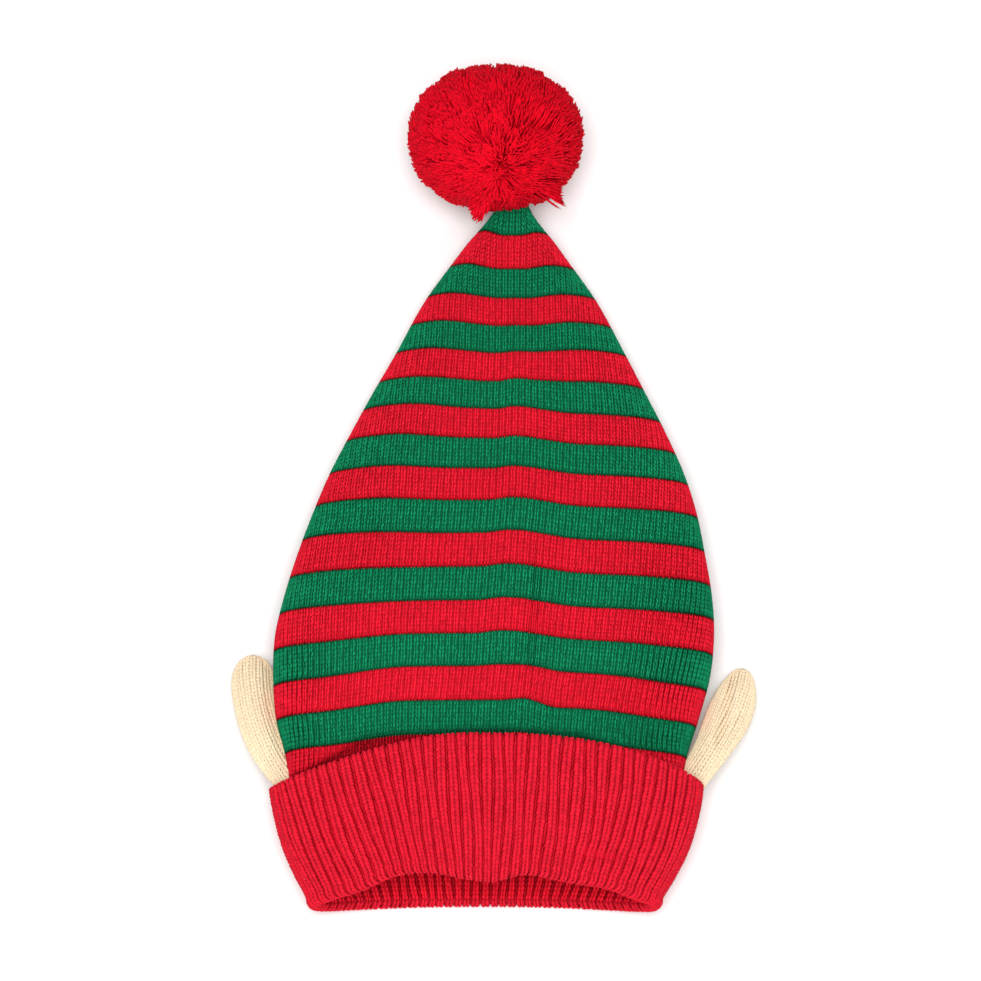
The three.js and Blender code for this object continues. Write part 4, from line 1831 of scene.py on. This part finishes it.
@dataclass
class Pompom:
    """The ball of cut yarn, parted where it is tied and combed away from there.

    Density is how many strands would cover half of the ball, and gather how far they
    lean towards the middle of their lock. Skews are how much locks and single strands
    stray, in radians.
    """

    centre: Array
    radii: Array
    density: int = 4250
    locks: int = 420
    gather: float = 0.3
    lock_skew: float = 0.11
    strand_skew: float = 0.05
    lock_longer: float = 0.02
    strand_longer: float = 0.011
    yarn: float = 0.52 * MM
    unevenness: float = 0.15
    wave: float = 0.7 * MM
    waves: float = 7.5
    fullness: float = 2.2
    turn_skew: float = 0.06
    # Pairs of what a strand has that ends at the pole, and how much less one has that
    # ends far from it: the distance back to where it starts, its flatness and its depth.
    rim: tuple[float, float] = (0.35, 1.35)
    back: tuple[float, float] = (0.62, 0.26)
    flatness: tuple[float, float] = (2.2, 0.7)
    depth: tuple[float, float] = (0.74, 0.1)
    core_size: float = 0.84
    core_wobble: float = 0.02
    # The core gets a low crest: painted shade deep in the ball.
    core_shade_yarn: tuple = (0.4, 0.5, 0.0)
    core_gap: float = 0.4 * MM
    strand_gap: float = 0.3 * MM
    # How thick a strand is at its start and how much more at its end, as shares of the
    # yarn, and how much its cut end is narrowed, from where on.
    swell: tuple[float, float] = (0.75, 0.5)
    cut: tuple[float, float] = (0.45, 0.9)
    # The crest at a strand's start, how much it gains, and where on the way: painted shade, darker
    # towards the core.
    crest: tuple[float, float] = (0.65, 0.35)
    crest_rise: tuple[float, float] = (0.2, 0.9)
    twist: tuple[float, float] = (0.9, 0.1)
    stride: float = 0.02
    seed: int = 70
    tufts: tuple = (
        Tuft((-0.17, -0.97, 0.1), 0.11, 0.32),
        Tuft((0.6, -0.8, 0.05), 0.10, 0.3),
        Tuft((0.1, -0.95, 0.25), 0.2, 0.1),
        Tuft((0.98, 0.12, 0.1), 0.25, 0.02),
    )

    def reach(self, direction: Array) -> Array:
        """Return the trimmed ball's surface.

        Args:
            direction: directions of length 1, in the last axis.

        Returns:
            The point in each direction, from the ball's centre.
        """
        power = (np.abs(direction) ** self.fullness).sum(axis=-1, keepdims=True)
        return direction * self.radii * power ** (-1 / self.fullness)

    def core(self, finish: Material) -> Object:
        """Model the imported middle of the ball.

        Args:
            finish: its yarn.

        Returns:
            The core.
        """
        bpy.ops.object.select_all(action="DESELECT")
        bpy.ops.mesh.primitive_ico_sphere_add(subdivisions=4, radius=1)
        core = bpy.context.object
        core.name = core.data.name = "pompom_core"
        points = np.array([v.co for v in core.data.vertices])
        random = np.random.default_rng(self.seed)
        wobble = 1 + self.core_wobble * random.standard_normal((len(points), 1))
        placed = self.reach(points) * self.core_size * wobble + self.centre
        placed[:, 2] = np.maximum(placed[:, 2], self.core_gap)
        core.data.vertices.foreach_set("co", placed.ravel())
        core.data.shade_smooth()
        core.data.materials.append(finish)
        paint(core.data, self.core_shade_yarn)
        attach(core, "root")
        return core

    def combing(self, parting: Parting) -> Combing:
        """Spread strands over one side of the ball and gather them into locks.

        Args:
            parting: the side of the ball.

        Returns:
            The strands on the parting's flat map.
        """
        random, cover = parting.random, parting.cover
        count = int(self.density * cover)
        number = np.arange(count)
        polar = np.arccos(1 - (number + 0.5) / count * cover)
        golden = math.pi * (3 - math.sqrt(5))
        turn = number * golden + random.normal(0, self.turn_skew, count)
        lock_polar = np.arccos(1 - random.random(self.locks) * cover)
        heads = parting.flat(lock_polar, random.random(self.locks) * TAU)
        flat = parting.flat(polar, turn)
        lock = ((flat[:, None] - heads[None]) ** 2).sum(axis=2).argmin(axis=1)
        skew = random.normal(0, self.strand_skew, (count, 2))
        skew = skew + random.normal(0, self.lock_skew, (self.locks, 2))[lock]
        end = flat + (heads[lock] - flat) * self.gather + skew
        return Combing(flat, end, lock, polar)

    def path(self, parting: Parting, combed: Combing, length: Array, share: Array) -> Array:
        """Return where each strand is, a share of the way to its end.

        Strands start nearer to the pole and lie flatter the nearer to it they end.

        Args:
            parting: the side of the ball.
            combed: its strands.
            length: how long each strand is, against the ball's radius.
            share: the shares, a row for each strand.

        Returns:
            The points, in the last axis of the array.
        """
        rim = smooth_step(*self.rim, combed.polar)[:, None]
        back, flatness, low = (
            pole - less * rim for pole, less in (self.back, self.flatness, self.depth)
        )
        way = (combed.end - combed.start)[:, None] * share[..., None]
        flat = (combed.start[:, None] + way) * (1 - back * (1 - share))[..., None]
        direction = parting.direction(flat)
        depth = low + (1 - low) * (1 - (1 - np.clip(share, 0, 1)) ** flatness)
        further = sum(tuft.at(direction) for tuft in self.tufts) * share**2
        return self.reach(direction) * (depth * length + further)[..., None] + self.centre

    def thickness(self, share: Array) -> Array:
        """Return how thick a strand is, fuller outwards and narrowed where it is cut.

        Args:
            share: the shares of the way to its end.

        Returns:
            The thickness at each.
        """
        start, more = self.swell
        narrowed, cut = self.cut
        return self.yarn * (start + more * share) * (1 - narrowed * smooth_step(cut, 1.0, share))

    def comb(self, name: str, parting: Parting, finish: Material) -> Object:
        """Lay the strands that are combed away from one pole.

        Args:
            name: the piece's name.
            parting: the side of the ball that they cover.
            finish: the yarn.

        Returns:
            The strands, as one piece.
        """
        combed, random = self.combing(parting), parting.random
        lock, count = combed.lock, len(combed.lock)
        length = 1 + random.normal(0, self.strand_longer, (count, 1))
        length = length + self.lock_longer * random.random((self.locks, 1))[lock]
        shape = Shape.grain(3, 5)
        flat_ring = shape.points[:, [0, 2]]
        ring = np.linalg.norm(flat_ring, axis=1, keepdims=True)
        side = np.where(ring > 1e-6, flat_ring / np.maximum(ring, 1e-6), 0)
        share = np.broadcast_to((shape.points[:, 1] + 0.5)[None], (count, len(side)))
        middle, onwards, backwards = (
            self.path(parting, combed, length, share + step)
            for step in (0, self.stride, -self.stride)
        )
        ahead = unit(onwards - backwards)
        first = unit(np.cross(ahead, middle - self.centre))
        second = np.cross(ahead, first)
        phase = random.random((count, 1)) * TAU
        swing = self.wave * np.sin(phase + self.waves * share) * share
        middle = middle + first * swing[..., None]
        thick = self.thickness(share) * (1 + random.normal(0, self.unevenness, (count, 1)))
        around = side[None, :, :1] * first + side[None, :, 1:] * second
        placed = middle + around * thick[..., None]
        placed[..., 2] = np.maximum(placed[..., 2], self.strand_gap)
        low, more = self.crest
        crest = low + more * smooth_step(*self.crest_rise, share)
        shades = 0.5 * random.random(self.locks)[lock] + 0.5 * random.random(count)
        tint = np.broadcast_to(shades[:, None], share.shape)
        along, across = self.twist
        twist = share * along + across * side[None, :, 0]
        strands = Strands()
        strands.add(shape, placed, np.stack([crest, tint, twist], axis=-1), flip=False)
        return strands.piece(name, finish)


@dataclass
class Studio:
    """The pale floor, the soft light and the camera."""

    elevation: float = 76.0
    distance: float = 2.5
    view_width: float = 0.5334
    aim: tuple[float, float, float] = (-0.0016, -0.0045, 0.03)
    room_light: float = 0.56
    sensor: float = 36
    lamp_aim: tuple[float, float, float] = (0, 0, 0.03)
    paper_grey: float = 0.92
    # Rows of (name, place, size, power).
    lamps: tuple = (
        ("key", (-0.05, -0.4, 2.35), 1.2, 49),
        ("fill", (0.0, -1.2, 0.40), 0.5, 3.2),
    )

    def floor(self) -> Object:
        """Lay the plain pale floor.

        Returns:
            The floor.
        """
        bpy.ops.object.select_all(action="DESELECT")
        bpy.ops.mesh.primitive_plane_add(size=8)
        floor = bpy.context.object
        floor.name = "floor"
        paper = bpy.data.materials.new("studio_paper")
        paper.use_nodes = True
        shader = paper.node_tree.nodes["Principled BSDF"]
        shader.inputs["Base Color"].default_value = (*[self.paper_grey] * 3, 1)
        shader.inputs["Roughness"].default_value = 0.9
        shader.inputs["Specular IOR Level"].default_value = 0.1
        floor.data.materials.append(paper)
        return floor

    def light(self, name: str, place: tuple, size: float, power: float) -> Object:
        """Hang a soft square light that faces the hat.

        Args:
            name: the lamp's name.
            place: where it hangs.
            size: the length of its side.
            power: its power in watts.

        Returns:
            The lamp.
        """
        lamp = bpy.data.lights.new(name, "AREA")
        lamp.size = size
        lamp.energy = power
        made = bpy.data.objects.new(name, lamp)
        bpy.context.scene.collection.objects.link(made)
        made.location = place
        facing = Vector(self.lamp_aim) - Vector(place)
        made.rotation_euler = facing.to_track_quat("-Z", "Y").to_euler()
        return made

    def world(self, strength: float) -> None:
        """Fill the room with even white light.

        Args:
            strength: how bright it is.
        """
        world = bpy.data.worlds.new("room")
        bpy.context.scene.world = world
        world.use_nodes = True
        background = world.node_tree.nodes["Background"].inputs
        background[0].default_value = (1, 1, 1, 1)
        background[1].default_value = strength

    def camera(self) -> Object:
        """Set the camera at the photograph's angle.

        Returns:
            The camera.
        """
        data = bpy.data.cameras.new("camera")
        data.sensor_width = self.sensor
        data.lens = self.sensor * self.distance / self.view_width
        data.clip_end = 50
        made = bpy.data.objects.new("camera", data)
        bpy.context.scene.collection.objects.link(made)
        angle = math.radians(self.elevation)
        aim = Vector(self.aim)
        made.location = aim + self.distance * Vector((0, -math.cos(angle), math.sin(angle)))
        made.rotation_euler = (math.radians(90) - angle, 0, 0)
        bpy.context.scene.camera = made
        return made

    def build(self) -> None:
        """Set the whole studio up."""
        self.floor()
        for lamp in self.lamps:
            self.light(*lamp)
        self.world(self.room_light)
        self.camera()
        bpy.context.scene.view_settings.view_transform = "Standard"


def yarn_finishes() -> dict[str, Material]:
    """Make the yarns of the hat.

    Returns:
        Their materials, by the first word of their name.
    """
    group = YarnGroup().build()
    finishes = (
        YarnFinish("red_yarn", (0.85, 0.014, 0.038), (0.54, 0.003, 0.012), tint=0.18),
        YarnFinish("green_yarn", (0.006, 0.255, 0.107), (0.001, 0.085, 0.034), tint=0.26),
        # A darker copy of the red yarn: painted shade that evens out the fill lamp's extra light
        # on the cuff.
        YarnFinish("rib_yarn", (0.68, 0.011, 0.030), (0.46, 0.002, 0.011)),
        # A lighter copy of the red yarn: painted light inside the cuff, where it lies in shade.
        YarnFinish("inner_yarn", (0.96, 0.014, 0.038), (0.72, 0.004, 0.016)),
        YarnFinish("cream_yarn", (0.92, 0.755, 0.53), (0.74, 0.53, 0.33), tint=0.05, fuzz=0.2),
        YarnFinish("pompom_yarn", (0.79, 0.003, 0.018), (0.68, 0.001, 0.013), tint=0.06),
    )
    return {f.name.split("_")[0]: f.material(group) for f in finishes}


def place_tube(tube: Tube) -> Array:
    """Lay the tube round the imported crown.

    Args:
        tube: the tube.

    Returns:
        How far everything that is made from it is moved.
    """
    low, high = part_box("crown")
    past_peak = 1.5 * MM
    box = Rings(tube.inner, tube.band_rise, tube.peak)
    across = (low.x + high.x - box.x.min() - box.x.max()) / 2
    offset = np.array([across, high.y - (tube.peak + past_peak), 0.0])
    LOG.info("hat placed at %s", np.round(offset / MM, 2))
    return offset


def place_pompom() -> Pompom:
    """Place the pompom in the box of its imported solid, a little smaller and to the left.

    Returns:
        The pompom.
    """
    low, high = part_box("pompom")
    shift = np.array([-2.0, 1.2, 0]) * MM
    smaller = np.array([0.985, 0.97, 0.97])
    return Pompom(np.array((low + high) / 2) + shift, np.array((high - low) / 2) * smaller)


def both_ears(tube: Tube, offset: Array) -> tuple[Ear, Ear]:
    """Describe how each ear lies and is creased.

    Args:
        tube: the tube.
        offset: how far everything that is made from it is moved.

    Returns:
        The left ear and the right ear.
    """
    left = Ear(
        tube,
        offset,
        Side.LEFT,
        reach=1.08,
        tuck=0.45,
        foot_lean=44,
        tip_lean=-2,
        bend=0.9,
        creases=LEFT_CREASES,
    )
    right = Ear(
        tube,
        offset,
        Side.RIGHT,
        reach=1.0,
        tuck=0.155,
        foot_lean=34,
        tip_lean=10,
        bend=1.8,
        creases=RIGHT_CREASES,
    )
    return left, right


def report(piece: Object) -> None:
    """Log a finished piece and how many faces it has."""
    LOG.info("%s: %d faces", piece.name, len(piece.data.polygons))


def main() -> None:
    """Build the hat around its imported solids, piece by piece."""
    logging.basicConfig(level=logging.INFO, format="%(name)s: %(message)s")
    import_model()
    finishes = yarn_finishes()
    tube = Tube()
    offset = place_tube(tube)

    crown = Crown(tube, offset)
    stripes = crown.stripes(finishes)
    backing = crown.backing(finishes)
    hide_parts("crown")
    for piece in (backing, *stripes):
        report(piece)

    cuff = Cuff(tube, offset)
    wall = cuff.backing(finishes["rib"])
    chains = cuff.chains(finishes)
    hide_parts("cuff")
    for piece in (wall, *chains):
        report(piece)

    for ear in both_ears(tube, offset):
        body, cover = ear.build(finishes["cream"])
        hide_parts(ear.name)
        for piece in (body, cover):
            report(piece)

    pompom = place_pompom()
    core = pompom.core(finishes["pompom"])
    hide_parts("pompom")
    pole = np.array([0.04, -0.74, 0.68])
    seen, hidden = Parting(pole, cover=1.75, seed=71), Parting(-pole, cover=0.32, seed=72)
    front = pompom.comb("pompom_front", seen, finishes["pompom"])
    under = pompom.comb("pompom_under", hidden, finishes["pompom"])
    for piece in (core, front, under):
        report(piece)

    Studio().build()


if __name__ == "__main__":
    main()
